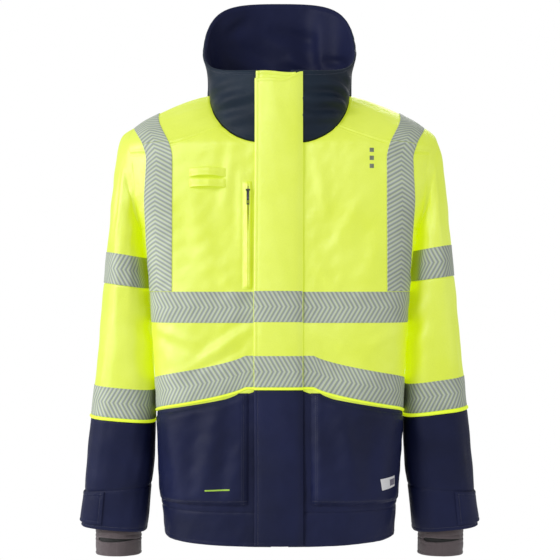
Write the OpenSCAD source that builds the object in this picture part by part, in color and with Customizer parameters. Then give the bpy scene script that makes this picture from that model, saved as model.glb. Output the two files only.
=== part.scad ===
// Foul weather jacket: a zipped sailing jacket with a high storm collar, a
// storm flap over the front zip, reflective tapes, cargo pockets and inner cuffs.
// The frame: X to the wearer's left, -Y out of the front, +Z up.
// The origin is the centre of the hem opening, in the plane of the side seams.

/* [Body] */
// Half of the body's width at the hem
hem_half_w = 193; // [191:1:195]
// Half of the body's width at the armpits
chest_half_w = 228; // [226:1:230]
// Half of the widest part of the shoulders, above the armpits
shoulder_half_w = 262; // [260:1:264]
// Depth from the side seams to the front at the hem
hem_front_d = 145; // [140:1:150]
// Depth from the side seams to the back at the hem
hem_back_d = 135; // [130:1:140]
// Depth from the side seams to the back over the shoulder blades
blade_d = 150; // [146:1:154]
// Distance that the front moves back between the hem and the front neckline
front_lean = 33; // [28:1:36]
// Squareness of the front's plan at the chest, where 2 is an ellipse
front_square = 5.5; // [5:0.1:6]
// Squareness of the back's plan
back_square = 2.8; // [2.6:0.1:3]
// Thickness of the shell fabric with its membrane and backing
fabric_t = 2; // [1.5:0.1:2.2]

/* [Heights above the hem] */
// Top of the hem band
hem_band_h = 55; // [45:1:60]
// Lower edge of the yellow cloth at the centre front
waist_front_z = 251; // [246:1:256]
// Lower edge of the yellow cloth at the sides and the back
waist_side_z = 205; // [200:1:212]
// Lower edge of the chest tape
chest_tape_z = 358; // [354:1:362]
// Armpits
armpit_z = 510; // [508:1:512]
// Neckline at the centre front
front_neck_z = 649; // [646:1:651]
// Neckline at the sides and the back
neck_z = 738; // [737:1:739]

/* [Collar] */
// Half of the neckline's width
neck_half_w = 118; // [116:1:119]
// Half of the collar rim's width
rim_half_w = 131; // [128:1:133]
// Depth of the rim from the side seams to the front
rim_front_d = 106; // [105:1:107]
// Depth of the rim from the side seams to the back
rim_back_d = 100; // [98:1:104]
// Height of the rim at the centre front
rim_front_z = 769; // [767:1:772]
// Height of the rim at the sides
rim_side_z = 818; // [814:1:822]
// Height of the rim at the centre back
rim_back_z = 915; // [905:1:920]

/* [Sleeves] */
// Half of the sleeve opening's height on the body
armhole_half_h = 88; // [86:1:89]
// Half of the sleeve opening's width, in degrees round the body
armhole_half_u = 38; // [36:1:39]
// Half of the sleeve's front to back depth under the arm
bicep_half_d = 96; // [92:1:98]
// Half of the sleeve's front to back depth at the cuff
cuff_half_d = 50; // [48:1:52]
// Height of the elbow fold
elbow_z = 330; // [325:1:335]
// Height of the seam between the sleeve and the cuff
cuff_seam_z = 73; // [70:1:76]
// Clear space between the sleeve and the body
sleeve_gap = 4; // [4:0.5:5]
// Inside radius of the knitted wrist band, at rest
wrist_r = 35; // [34:0.5:36]
// Length of the knitted wrist band below its thumb slot
wrist_band_h = 24; // [22:1:26]

/* [Tapes, flap and zips] */
// Width of the reflective tape
tape_w = 50; // [50:0.5:51]
// Thickness of the reflective tape
tape_t = 0.8; // [0.6:0.1:1]
// Height of the piping strip
piping_h = 4; // [3:0.5:4.5]
// Distance of the flap's sewn edge from the centre
flap_sewn_x = 38; // [36:1:40]
// Distance of the flap's free edge from the centre
flap_free_x = 41; // [38:1:42]
// Thickness of the storm flap
flap_t = 2.5; // [2:0.1:2.6]
// Length of a zip tooth pair along the chain
tooth_pitch = 6; // [5:1:8]
// Length of the chest pocket's opening
chest_zip_l = 168; // [160:1:170]
// Distance of the chest pocket's zip from the centre
chest_zip_x = 51; // [50:0.5:52]

/* [Hidden] */
$fn = 48;

yellow = [0.86, 0.95, 0.25];
navy = [0.12, 0.14, 0.25];
silver = [0.69, 0.73, 0.66];
knit = [0.34, 0.31, 0.32];
white = [0.93, 0.93, 0.92];
metal = [0.3, 0.31, 0.33];

seam = 0.4;          // gap between two panels that are sewn together
lay = 0.5;           // gap between a panel and what is sewn on it
step = 0.5;          // step of the numeric slopes
dome_z = 640;        // where the shoulders start to close
dome_top = neck_z + 0.5;
shoulder_slope = 0.74; // 0.5 is a round shoulder, 1 a straight one
arm_z = armpit_z + armhole_half_h;
lean_deg = atan(front_lean / front_neck_z);
zip_half_w = 14;     // half of the gap between the two fronts
lining_off = -8;     // the lining hangs this far inside the shell
flap_off = 9.5;      // the flap's inner face stands this far in front of the zip
flap_top = rim_front_z - 3;

// ---- curves and surfaces ----

function mix(a, b, t) = a + (b - a) * t;
function clamp(x) = min(1, max(0, x));
function ease(x) = let(c = clamp(x)) c * c * (3 - 2 * c);
function spow(x, p) = sign(x) * pow(abs(x), p);

// Smooth curve through a list of [position, value] stations
function span(x, p) = max([for (i = [0:len(p) - 2]) if (i == 0 || x >= p[i][0]) i]);
function slope(p, i) =
    let(a = max(0, i - 1), b = min(len(p) - 1, i + 1))
    (p[b][1] - p[a][1]) / (p[b][0] - p[a][0]);
function curve(x, p) =
    let(i = span(x, p), h = p[i + 1][0] - p[i][0], t = clamp((x - p[i][0]) / h))
    let(t2 = t * t, t3 = t2 * t)
    (2 * t3 - 3 * t2 + 1) * p[i][1] + (t3 - 2 * t2 + t) * h * slope(p, i)
    + (3 * t2 - 2 * t3) * p[i + 1][1] + (t3 - t2) * h * slope(p, i + 1);

// The body's half-width, front depth and back depth at a height
function half_w(z) = z < dome_z
    ? curve(z, [[0, hem_half_w], [140, hem_half_w + 8], [350, hem_half_w + 19],
                [armpit_z, chest_half_w], [580, shoulder_half_w - 8], [dome_z, shoulder_half_w]])
    : neck_half_w + (shoulder_half_w - neck_half_w)
        * pow(1 - pow(clamp((z - dome_z) / (dome_top - dome_z)), 2), shoulder_slope);
function front_d(z) = hem_front_d - front_lean * z / front_neck_z
    - 76 * pow(clamp((z - front_neck_z) / (neck_z - front_neck_z)), 1.3);
function back_d(z) = curve(z, [[0, hem_back_d], [200, hem_back_d - 2], [360, hem_back_d + 6],
                               [560, blade_d], [680, blade_d - 26], [neck_z, blade_d - 60]]);

// The plan is a superellipse, squarest across the chest
function square(z, back) = back ? back_square
    : curve(z, [[0, 3], [380, front_square], [620, front_square], [neck_z, 2.6]]);

function depth(z, back) = back ? back_d(z) : front_d(z);

// A point of the body's surface, moved by off out of the surface
function moved_out(x, y, z, off) =
    let(e = step, back = y > 0, n = square(z, back), a = half_w(z), b = depth(z, back))
    let(da = (half_w(z + e) - half_w(z - e)) / (2 * e))
    let(db = (depth(z + e, back) - depth(z - e, back)) / (2 * e))
    let(p = x / a, q = y / b)
    let(g = [spow(p, n - 1) / a, spow(q, n - 1) / b,
             -(pow(abs(p), n) * da / a + pow(abs(q), n) * db / b)])
    [x, y, z] + off * g / norm(g);

// The same by u, the angle from the centre front towards the wearer's left
function body(u, z, off) =
    let(back = cos(u) < 0, n = square(z, back))
    moved_out(half_w(z) * spow(sin(u), 2 / n), -depth(z, back) * spow(cos(u), 2 / n), z, off);

// The angle at which the surface has a given X, and at which it has a given Y
function u_of_x(x, z, back = false) =
    let(u = asin(min(1, pow(x / half_w(z), square(z, back) / 2))))
    back ? 180 - u : u;
function u_of_y(y, z) = acos(pow(y / front_d(z), square(z, false) / 2));
// The side seam's edges, in front and behind
function side_front(z) = u_of_y(seam / 2, z);
function side_back(z) = 90.02;

// The neckline's X at a height, on the front
function x_neck(z) =
    let(w = acos(pow(clamp((neck_z - z) / (neck_z - front_neck_z)), 1 / 1.2)))
    neck_half_w * pow(sin(w), 2 / 3);
// Inner and outer edges of the fronts, and the outer edge of the back
u_in = function(z) u_of_x(max(zip_half_w, x_neck(z) + 1), z);
function arm_u(z) = armhole_half_u * sqrt(max(0, 1 - pow((z - arm_z) / armhole_half_h, 2)));
u_out = function(z) min(side_front(z), 90 - arm_u(z) * 1.05);
u_back = function(z) max(side_back(z), 90 + arm_u(z) * 1.05);
u_back_far = function(z) 360 - u_back(z);
side_rear = function(z) side_back(z);
side_rear_far = function(z) 360 - side_back(z);

// The lower edge of the yellow cloth, and the yoke seams
waist_level = 0.25;  // share of the half-width over which the yellow cloth's edge stays level
function waist_z(u) =
    let(p = pow(abs(sin(u)), 2 / square(waist_side_z, false)))
    let(k = cos(u) < 0 ? 1 : pow(clamp((p - waist_level) / (1 - waist_level)), 0.9))
    mix(waist_front_z, waist_side_z, k);
yoke_front_z = function(s) mix(672, 628, 1 - (1 - s) * (1 - s));
yoke_back_z = 645;
yoke_top_z = neck_z - 4;

// ---- sheets ----

// A closed sheet between the offsets lo and hi of the surface f(s, t, off).
// Seen from outside, s runs to the right and t upwards. wrap closes it in s.
module sheet(f, nu, nv, lo, hi, wrap = false) {
    row = nv + 1;
    half = (nu + 1) * row;
    points = [for (off = [hi, lo], i = [0:nu], j = [0:nv]) f(i / nu, j / nv, off)];
    function at(k, i, j) = k * half + (wrap ? i % nu : i) * row + j;
    skin = [for (i = [0:nu - 1], j = [0:nv - 1]) each [
        [at(0, i, j), at(0, i, j + 1), at(0, i + 1, j + 1)],
        [at(0, i, j), at(0, i + 1, j + 1), at(0, i + 1, j)],
        [at(1, i, j), at(1, i + 1, j + 1), at(1, i, j + 1)],
        [at(1, i, j), at(1, i + 1, j), at(1, i + 1, j + 1)]
    ]];
    ends = [for (i = [0:nu - 1]) each [
        [at(0, i, 0), at(0, i + 1, 0), at(1, i + 1, 0)],
        [at(0, i, 0), at(1, i + 1, 0), at(1, i, 0)],
        [at(0, i + 1, nv), at(0, i, nv), at(1, i, nv)],
        [at(0, i + 1, nv), at(1, i, nv), at(1, i + 1, nv)]
    ]];
    sides = wrap ? [] : [for (j = [0:nv - 1]) each [
        [at(0, 0, j + 1), at(0, 0, j), at(1, 0, j)],
        [at(0, 0, j + 1), at(1, 0, j), at(1, 0, j + 1)],
        [at(0, nu, j), at(0, nu, j + 1), at(1, nu, j + 1)],
        [at(0, nu, j), at(1, nu, j + 1), at(1, nu, j)]
    ]];
    polyhedron(points, concat(skin, ends, sides), convexity = 6);
}

// A patch of the body between two heights and two angles, all functions:
// zlo(s), zhi(s), ulo(z), uhi(z)
function patch(zlo, zhi, ulo, uhi) = function(s, t, off)
    let(z = mix(zlo(s), zhi(s), t))
    body(mix(ulo(z), uhi(z), s), z, off);

module mirrored() { mirror([1, 0, 0]) children(); }
module pair() { children(); mirrored() children(); }
// Straight pieces of the front: local +Z runs up the centre front line
module on_front() { translate([0, -hem_front_d, 0]) rotate([-lean_deg, 0, 0]) children(); }

// ---- body shell ----

function side_u(s) = mix(u_of_x(zip_half_w, waist_side_z), 90, s);

module front_panel() {
    color(yellow) sheet(patch(function(s) waist_z(side_u(s)) + seam, yoke_front_z,
                              u_in, u_out), 10, 14, -fabric_t, 0);
}
module right_front_panel() { mirrored() front_panel(); }
module left_front_panel() { front_panel(); }

module back_panel() {
    color(yellow) sheet(patch(function(s) waist_side_z + seam, function(s) yoke_back_z - seam,
                              u_back, u_back_far), 16, 14, -fabric_t, 0);
}

module yoke() {
    color(yellow) {
        sheet(patch(function(s) yoke_front_z(s) + seam, function(s) yoke_top_z, u_in, u_out),
              6, 6, -fabric_t, 0);
        sheet(patch(function(s) yoke_back_z, function(s) yoke_top_z,
                    u_back, function(z) 179.8), 8, 6, -fabric_t, 0);
    }
}
module right_yoke() { mirrored() yoke(); }
module left_yoke() { yoke(); }

module lower_front() {
    color(navy) sheet(patch(function(s) hem_band_h + seam, function(s) waist_z(side_u(s)) - seam,
                            u_in, u_out), 10, 5, -fabric_t, 0);
}
module right_lower_front() { mirrored() lower_front(); }
module left_lower_front() { lower_front(); }

module back_lower_panel() {
    color(navy) sheet(patch(function(s) hem_band_h + seam, function(s) waist_side_z - seam,
                            side_rear, side_rear_far), 16, 4, -fabric_t, 0);
}

module hem_band() {
    color(navy) sheet(patch(function(s) 0, function(s) hem_band_h,
                            u_in, function(z) 360 - u_in(z)), 40, 2, -fabric_t - 0.6, -0.6);
}

// The lining stops short of the inner flap and of the yokes
lining_front_x = 44;
module body_lining() {
    front = patch(function(s) 25, function(s) 640,
                  function(z) u_of_x(lining_front_x, z), u_out);
    color(navy) {
        pair() sheet(front, 8, 10, lining_off - 1, lining_off);
        sheet(patch(function(s) 25, function(s) 700,
                    function(z) u_back(z) + 2, function(z) u_back_far(z) - 2),
              14, 12, lining_off - 1, lining_off);
    }
}

// ---- collar ----

// The neckline and the rim, by the angle w round the neck from the front
side_w = 75;        // where the front part of the neckline meets the side
function neck_point(w, off) =
    let(v = w > 180 ? 360 - w : w, m = v * 90 / side_w, u0 = u_of_x(neck_half_w, neck_z))
    let(z = v < side_w ? neck_z - (neck_z - front_neck_z) * pow(cos(m), 1.2) : neck_z)
    let(u = v < side_w ? u_of_x(x_neck(z), z) : mix(u0, 180, (v - side_w) / (180 - side_w)))
    let(p = body(u, z, 0), d = [p[0], p[1], 0] / norm([p[0], p[1]]))
    [w > 180 ? -p[0] : p[0], p[1], z] + off * [w > 180 ? -d[0] : d[0], d[1], 0];
function rim_point(w, off) =
    let(n = 2.6, s = -cos(w), p = spow(sin(w), 2 / n), q = spow(s, 2 / n))
    let(b = s > 0 ? rim_back_d : rim_front_d)
    let(z = s < 0 ? rim_front_z + (rim_side_z - rim_front_z) * pow(1 + s, 2)
                  : mix(rim_side_z, rim_back_z, (pow(s, 0.8) + sin(90 * s)) / 2))
    let(d = [p / rim_half_w, q / b, 0])
    [rim_half_w * p, b * q, z] + off * d / norm(d);
collar_end_w = 4.6; // the collar's ends meet the zip at this angle
collar_wall = function(s, t, off)
    let(w = mix(collar_end_w, 360 - collar_end_w, s))
    mix(neck_point(w, off) + [0, 0, 2], rim_point(w, off), t)
    + [0, 0, 2 * abs(min(0, cos(w)))] * (1 - t);

module collar_outer() { color(navy) sheet(collar_wall, 40, 4, -fabric_t, 0); }
lining_start = 0.07; // the lining starts at this share of the wall's height
module collar_lining() {
    color(navy) sheet(function(s, t, off) collar_wall(s, mix(lining_start, 1, t), off),
                      40, 4, -6.5, -5);
}

// A flat strap bowed away from the back neck, for a coat hook
loop_r = 14;
loop_w = 8;
loop_t = 1.6;
loop_z = neck_z - 14;
loop_y = 62;
module hang_loop() {
    color(navy) translate([0, loop_y, loop_z]) {
        rotate([0, 0, 180]) rotate_extrude(angle = 180) translate([loop_r, 0])
            square([loop_t, loop_w]);
        pair() translate([loop_r, -0.01, 0]) cube([loop_t, 24, loop_w]);
    }
}

// ---- front closing: zip, inner flap and storm flap ----

zip_bottom = 30;
zip_top = rim_front_z - 25;
chain_y = 2;         // depth of the chain behind the shell's face
module inner_flap() {
    color(yellow) on_front()
        translate([-30, 9.5, 12]) cube([58, 1.6, rim_front_z - 3]);
}
module zip_tapes() {
    color(navy) on_front() pair()
        translate([1.2, chain_y + 0.4, zip_bottom - 15]) cube([11.5, 0.9, zip_top - zip_bottom + 25]);
}
module zip_teeth() {
    count = floor((zip_top - zip_bottom) / tooth_pitch);
    color(metal) on_front() for (i = [0:count - 1]) {
        z = zip_bottom + i * tooth_pitch;
        translate([0.8, chain_y - 1.4, z]) cube([2.6, 1.7, tooth_pitch * 0.55]);
        translate([-3.4, chain_y - 1.4, z + tooth_pitch / 2]) cube([2.6, 1.7, tooth_pitch * 0.45]);
    }
}
module zip_stops() {
    color(metal) on_front() {
        pair() translate([0.8, chain_y - 1.4, zip_top + 4]) cube([2.6, 1.7, 4]);
        translate([-6, chain_y - 1.6, zip_bottom - 14]) cube([12, 1.8, 12]);
    }
}
// The slider's two plates ride in front of and behind the chain, and a thin
// post joins them through the gap between the tapes
slider_l = 16;
slider_z = zip_top - slider_l + 2;
module slider_body(plate, gap_front, gap_back, l) {
    hull() for (z = [2, l - 3]) translate([0, -gap_front, z]) rotate([90, 0, 0])
        cylinder(r = z == 2 ? 4.5 : 6, h = plate);
    hull() for (z = [2, l - 3]) translate([0, gap_back + plate, z]) rotate([90, 0, 0])
        cylinder(r = z == 2 ? 4.5 : 6, h = plate);
    translate([-0.5, -gap_front - plate / 2, l - 5]) cube([1, gap_front + gap_back + plate, 4]);
}
module main_zip_slider() {
    color(metal) on_front() translate([0, chain_y, slider_z]) {
        slider_body(1.3, 2, 2, slider_l);
        for (z = [3, 11.2]) translate([-2, -5.2, z]) cube([4, 2.2, 1.4]);
        translate([-2, -5.9, 3]) cube([4, 1, 9.6]);
    }
}
puller_t = 1.2;
puller_l = 34;
// A pull tab whose eye holds the slider's bridge
module puller_tab(l) {
    difference() {
        hull() {
            cylinder(r = 4.5, h = puller_t);
            translate([0, -l, 0]) cylinder(r = 3.5, h = puller_t);
        }
        translate([-3, -3.6, -1]) cube([6, 6.4, puller_t + 2]);
    }
}
module main_zip_puller() {
    color(navy) on_front() translate([0, chain_y - 3.6, slider_z + 6.2]) rotate([90, 0, 0])
        puller_tab(puller_l);
}

patch_z = [90, 190, 320, 440, 560];
module loop_patches() {
    color(navy) on_front() for (z = patch_z)
        translate([-flap_free_x + 2, -2.4, z]) cube([20, 1.2, 40]);
}
module flap_hook_patches() {
    color(navy) on_front() for (z = patch_z)
        translate([-flap_free_x + 3, -flap_off + 0.3, z]) cube([18, 1.2, 40]);
}
flap_w = flap_free_x + flap_sewn_x;
module flap_slab(z0, z1, depth, t) {
    translate([-flap_free_x, -depth - t, z0]) cube([flap_w, t, z1 - z0]);
}
module storm_flap() {
    color(yellow) on_front() flap_slab(waist_front_z + seam, flap_top, flap_off, flap_t);
}
module storm_flap_lower() {
    color(navy) on_front() flap_slab(2, waist_front_z - seam, flap_off, flap_t);
}
module flap_tapes() {
    color(silver) on_front() for (z = [waist_front_z + piping_h, chest_tape_z])
        translate([2, 0, 0]) intersection() {
            flap_slab(z, z + tape_w, flap_off + flap_t + 0.2, tape_t);
            translate([-flap_free_x, -30, 0]) cube([flap_w - 4, 30, 900]);
        }
}
module flap_piping() {
    color(yellow) on_front()
        flap_slab(waist_front_z + seam, waist_front_z + piping_h - seam,
                  flap_off + flap_t + 0.2, 1.6);
}

// ---- tapes, piping and pockets on the body ----

flap_clear_x = 44;   // the flat tapes start beside the flap
u_clear = function(z) u_of_x(flap_clear_x, z);
function tape_patch(z0, ulo, uhi) = patch(z0, function(s) z0(s) + tape_w, ulo, uhi);
module chest_tape_front() {
    color(silver) pair() sheet(tape_patch(function(s) chest_tape_z, u_clear, u_out),
                               10, 2, lay, lay + tape_t);
}
module chest_tape_back() {
    color(silver) sheet(tape_patch(function(s) chest_tape_z, side_rear, side_rear_far),
                        16, 2, lay, lay + tape_t);
}
module waist_tape_front() {
    color(silver) pair() sheet(tape_patch(function(s) waist_z(side_u(s)) + piping_h,
                                          u_clear, u_out), 10, 2, lay, lay + tape_t);
}
module waist_tape_back() {
    color(silver) sheet(tape_patch(function(s) waist_side_z + piping_h, side_rear,
                                   side_rear_far), 16, 2, lay, lay + tape_t);
}
module body_piping() {
    front = patch(function(s) waist_z(side_u(s)) + seam,
                  function(s) waist_z(side_u(s)) + piping_h - seam, u_clear, u_out);
    back = patch(function(s) waist_side_z + seam, function(s) waist_side_z + piping_h - seam,
                 side_rear, side_rear_far);
    color(yellow) {
        pair() sheet(front, 10, 1, lay, lay + 1.6);
        sheet(back, 16, 1, lay, lay + 1.6);
    }
}

// The brace tapes run from the chest tape over the shoulder to the back.
// They are upright up to the yoke, lean outwards above it, and stand clear of
// the rounded shoulders.
brace_x = 174;
brace_lean = 28;
brace_w = 38;        // the tape's width as seen from the front
brace_lay = 2.6;
brace_z0 = chest_tape_z + tape_w + seam;
arc_z = 560;         // the middle of the arc over the shoulder
arc_share = 0.2;     // the straight parts' share of the tape, each
// How full the body's plan is at a point: 1 is its surface
function fill(x, y, z) =
    let(n = square(z, y > 0))
    pow(x / half_w(z), n) + pow(abs(y) / depth(z, y > 0), n);
// Where a ray in the plane of a given x leaves the body, by halving
function cast(x, phi, lo, hi, left) =
    let(r = (lo + hi) / 2, y = -r * cos(phi), z = min(dome_top - 0.01, arc_z + r * sin(phi)))
    left == 0 ? [y, z]
    : fill(x, y, z) > 1 ? cast(x, phi, lo, r, left - 1) : cast(x, phi, r, hi, left - 1);
brace = function(s, t, off)
    let(h = t < 0.5 ? t : 1 - t, k = clamp(h / arc_share), z = mix(brace_z0, arc_z, k))
    let(phi = 180 * clamp((t - arc_share) / (1 - 2 * arc_share)))
    let(x = brace_x + brace_lean * ease(2 * sin(phi) - 1) + brace_w * s)
    let(q = k < 1 ? body(u_of_x(x, z, t > 0.5), z, 0) : [x, each cast(x, phi, 20, 220, 26)])
    moved_out(q[0], q[1], q[2], off);
module brace_tape() {
    color(silver) sheet(brace, 6, 40, brace_lay, brace_lay + tape_t);
}
module right_brace_tape() { mirrored() brace_tape(); }
module left_brace_tape() { brace_tape(); }

// Cargo pockets with a bellows side, kept short of the piping
pocket_in_x = 51;
pocket_z0 = 66;
pocket_t = 11;
pocket_out_u = 60;   // the outer edge stays clear of the swinging forearm
module cargo_pocket() {
    color(navy) sheet(patch(function(s) pocket_z0, function(s) waist_z(side_u(s)) - 7,
                            function(z) u_of_x(pocket_in_x, z),
                            function(z) pocket_out_u), 8, 4, lay, pocket_t);
}
module right_cargo_pocket() { mirrored() cargo_pocket(); }
module left_cargo_pocket() { cargo_pocket(); }

label_off = pocket_t + 1.4;
label_t = 0.9;
module side_label() {
    color(white) sheet(patch(function(s) 84, function(s) 110, function(z) u_of_x(158, z),
                             function(z) u_of_x(186, z)), 2, 1, label_off, label_off + label_t);
}

// Two loops for a radio or microphone clip, bowed off the right chest
module mic_loops() {
    color(yellow) mirrored() for (z = [577, 593.5])
        sheet(function(s, t, off)
                body(u_of_x(mix(88, 145, s), z + 15 * t), z + 15 * t,
                     off + lay + 5 * sin(180 * s)), 8, 1, 0, 1.2);
}

// The chest pocket's zip, on a straight line beside the flap
chest_zip_z0 = 416;
module on_chest() { on_front() translate([-chest_zip_x, 0, 0]) children(); }
module chest_pocket_zip() {
    color(navy) on_chest() pair()
        translate([0.8, -1.9, chest_zip_z0]) cube([3.6, 0.9, chest_zip_l]);
    color(metal) on_chest() pair()
        for (z = [chest_zip_z0 + 3:4:chest_zip_z0 + chest_zip_l - 5])
            translate([0.8, -3.1, z]) cube([1.4, 1, 2.4]);
}
chest_slider_z = chest_zip_z0 + chest_zip_l - 17;
chest_pin_y = -6.6;  // place of the pin that the pull turns on
chest_pin_z = 6;
chest_pin_r = 0.8;
module chest_zip_slider() {
    color(metal) on_chest() translate([0, 0, chest_slider_z]) {
        hull() for (z = [2.5, 9]) translate([0, -3.5, z]) rotate([90, 0, 0])
            cylinder(r = 3.6, h = 1.2);
        for (x = [-3.5, 2.5]) translate([x, chest_pin_y - 1.6, chest_pin_z - 1.6])
            cube([1, 3.8, 3.2]);
        translate([-3, chest_pin_y, chest_pin_z]) rotate([0, 90, 0])
            cylinder(r = chest_pin_r, h = 6);
    }
}
module chest_zip_puller() {
    color(metal) on_chest() translate([0, chest_pin_y, chest_slider_z + chest_pin_z])
        difference() {
            union() {
                translate([-2.2, 0, 0]) rotate([0, 90, 0]) cylinder(r = 1.6, h = 4.4);
                translate([-2.2, -0.7, -24]) cube([4.4, 1.3, 24]);
            }
            translate([-4, 0, 0]) rotate([0, 90, 0]) cylinder(r = chest_pin_r + 0.05, h = 8);
            translate([-1, -2, -22]) cube([2, 4, 5]);
        }
}
module chest_pocket_bag() {
    color(navy) mirrored() sheet(patch(function(s) 420, function(s) 580,
        function(z) u_of_x(54, z), function(z) u_of_x(165, z)), 6, 5, -5.5, -3.5);
}

// ---- sleeves ----

// Inner and outer edges of the sleeve in the front view, by height
function sleeve_in_x(z) = half_w(z) + sleeve_gap
    + 23 * pow(clamp((172 - z) / 164), 1.1);
function sleeve_out_x(z) = 276 + 60 * (631 - z) / 614;
// Stations down the sleeve: inner height, outer x and height, half-depth, middle y
cap = [
    [507, 264, 671, 95, 4],
    [502, 272, 651, 96, 4],
    [495, 278, 612, 96, 3]
];
function sleeve_station(v, zi, zo) =
    [zi, sleeve_out_x(zo), zo, mix(bicep_half_d, cuff_half_d, v), mix(0, -25, v)];
// The two sleeves hang a little differently: their tapes' lower inner corners,
// and how far the lower tape rises towards the outside
RIGHT = 0;
LEFT = 1;
tape1_z = [413, 425];
tape2_z = [194, 204];
tape2_rise = [9, 14];
function stations(k) = concat(cap, [
    sleeve_station(0, 486, 560),
    sleeve_station(0, 480, 520),
    sleeve_station(0.03, tape1_z[k] + tape_w + 1, tape1_z[k] + tape_w + 11),
    sleeve_station(0.15, tape1_z[k], tape1_z[k] + 10),
    sleeve_station(0.3, elbow_z + 40, elbow_z + 50),
    sleeve_station(0.45, elbow_z - 40, elbow_z - 32),
    sleeve_station(0.6, tape2_z[k] + tape_w, tape2_z[k] + tape_w + tape2_rise[k]),
    sleeve_station(0.72, tape2_z[k], tape2_z[k] + tape2_rise[k]),
    sleeve_station(0.85, 130, 134),
    sleeve_station(0.95, cuff_seam_z, cuff_seam_z),
    sleeve_station(1, 8, 17)
]);
sleeves = [stations(RIGHT), stations(LEFT)];

// Places of the seams, counted in stations
v_tape1 = 5;
v_elbow_top = 6;
v_tape2 = 9;
v_piping = 10;
v_cuff = 12;
v_end = 13;

function armhole_point(w) =
    let(z = arm_z + armhole_half_h * cos(w), u = 90 - armhole_half_u * sin(w))
    body(u, z, 0) + [sleeve_gap + 1, 0, 0];
function sleeve_ring(side, k, w) =
    let(p = sleeves[side][k], inner = [sleeve_in_x(p[0]), p[0]], outer = [p[1], p[2]], n = 2.3)
    let(mid = (inner + outer) / 2, across = (outer - inner) / 2)
    let(c = spow(cos(w), 2 / n), d = spow(sin(w), 2 / n))
    [mid[0] + across[0] * c, p[4] - p[3] * d, mid[1] + across[1] * c];
function sleeve_at(side, v, w) =
    let(k = min(v_end - 1, floor(v)))
    v < 0 ? mix(armhole_point(w), sleeve_ring(side, 0, w), v + 1)
          : mix(sleeve_ring(side, k, w), sleeve_ring(side, k + 1, w), v - k);
function sleeve_point(side, v, w, off) =
    let(e = 0.01, p = sleeve_at(side, v, w))
    let(a = sleeve_at(side, v, w + 1) - sleeve_at(side, v, w - 1))
    let(b = sleeve_at(side, min(v_end, v + e), w) - sleeve_at(side, max(-1, v - e), w))
    let(g = cross(a, b))
    p + off * g / norm(g);
module tube(side, v0, v1, rows, lo, hi) {
    sheet(function(s, t, off) sleeve_point(side, mix(v0, v1, t), 360 * s, off),
          20, rows, lo, hi, true);
}
v_gap = 0.006;       // the seam gap, in stations
module upper_sleeve(side) { color(yellow) tube(side, -1, v_elbow_top - v_gap, 7, -1.6, 0); }
module upper_sleeve_tape(side) {
    color(silver) tube(side, v_tape1, v_elbow_top - v_gap, 1, lay, lay + tape_t);
}
module mid_sleeve(side) {
    color(yellow) tube(side, v_elbow_top + v_gap, v_piping - v_gap, 4, -1.6, 0);
}
module lower_sleeve_tape(side) {
    color(silver) tube(side, v_tape2, v_piping - 0.02, 1, lay, lay + tape_t);
}
module sleeve_piping(side) {
    color(yellow) tube(side, v_piping + v_gap, v_piping + 0.07, 1, -1.6, 1.4);
}
module lower_sleeve(side) {
    color(navy) tube(side, v_piping + 0.08, v_cuff - v_gap, 3, -1.6, 0);
}
module cuff() { color(navy) tube(RIGHT, v_cuff + v_gap, v_end, 2, -1.8, 0); }

// The knitted inner cuff, with a thumb slot across its front
cuff_x = 273;
cuff_y = -25;
band_r = wrist_r + 3;
slot_h = 5;
band_z = -15 - wrist_band_h;
module inner_cuff() {
    color(knit) translate([cuff_x, cuff_y, band_z]) difference() {
        union() {
            cylinder(r = band_r, h = wrist_band_h);
            translate([0, 0, wrist_band_h]) cylinder(r = band_r + 1, h = 62);
        }
        translate([0, 0, -1]) cylinder(r = wrist_r, h = wrist_band_h + 1);
        translate([0, 0, wrist_band_h - 0.5]) cylinder(r = wrist_r + 1.5, h = 70);
        translate([-30, -band_r - 4, wrist_band_h + 0.5]) cube([60, band_r, slot_h]);
    }
}

// The tab that closes the cuff, sewn in front and wrapped round the outside
tab_z = [16, 66];
tab_w = [-40, 78];   // the tab's far end and its sewn end, round the sleeve
function tab_v(z) = v_cuff + (cuff_seam_z - z) / (cuff_seam_z - 12);
module cuff_tab() {
    color(navy) sheet(function(s, t, off)
            sleeve_point(RIGHT, tab_v(mix(tab_z[0], tab_z[1], 1 - t)),
                         mix(tab_w[0], tab_w[1], s), off),
        8, 1, 1.5, 3.6);
}

module left_upper_sleeve() { upper_sleeve(LEFT); }
module right_upper_sleeve() { mirrored() upper_sleeve(RIGHT); }
module left_upper_sleeve_tape() { upper_sleeve_tape(LEFT); }
module right_upper_sleeve_tape() { mirrored() upper_sleeve_tape(RIGHT); }
module left_mid_sleeve() { mid_sleeve(LEFT); }
module right_mid_sleeve() { mirrored() mid_sleeve(RIGHT); }
module left_lower_sleeve_tape() { lower_sleeve_tape(LEFT); }
module right_lower_sleeve_tape() { mirrored() lower_sleeve_tape(RIGHT); }
module left_sleeve_piping() { sleeve_piping(LEFT); }
module right_sleeve_piping() { mirrored() sleeve_piping(RIGHT); }
module left_lower_sleeve() { lower_sleeve(LEFT); }
module right_lower_sleeve() { mirrored() lower_sleeve(RIGHT); }
module left_cuff() { cuff(); }
module right_cuff() { mirrored() cuff(); }
module left_inner_cuff() { inner_cuff(); }
module right_inner_cuff() { mirrored() inner_cuff(); }
module left_cuff_tab() { cuff_tab(); }
module right_cuff_tab() { mirrored() cuff_tab(); }

// ---- drawing ----

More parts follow.
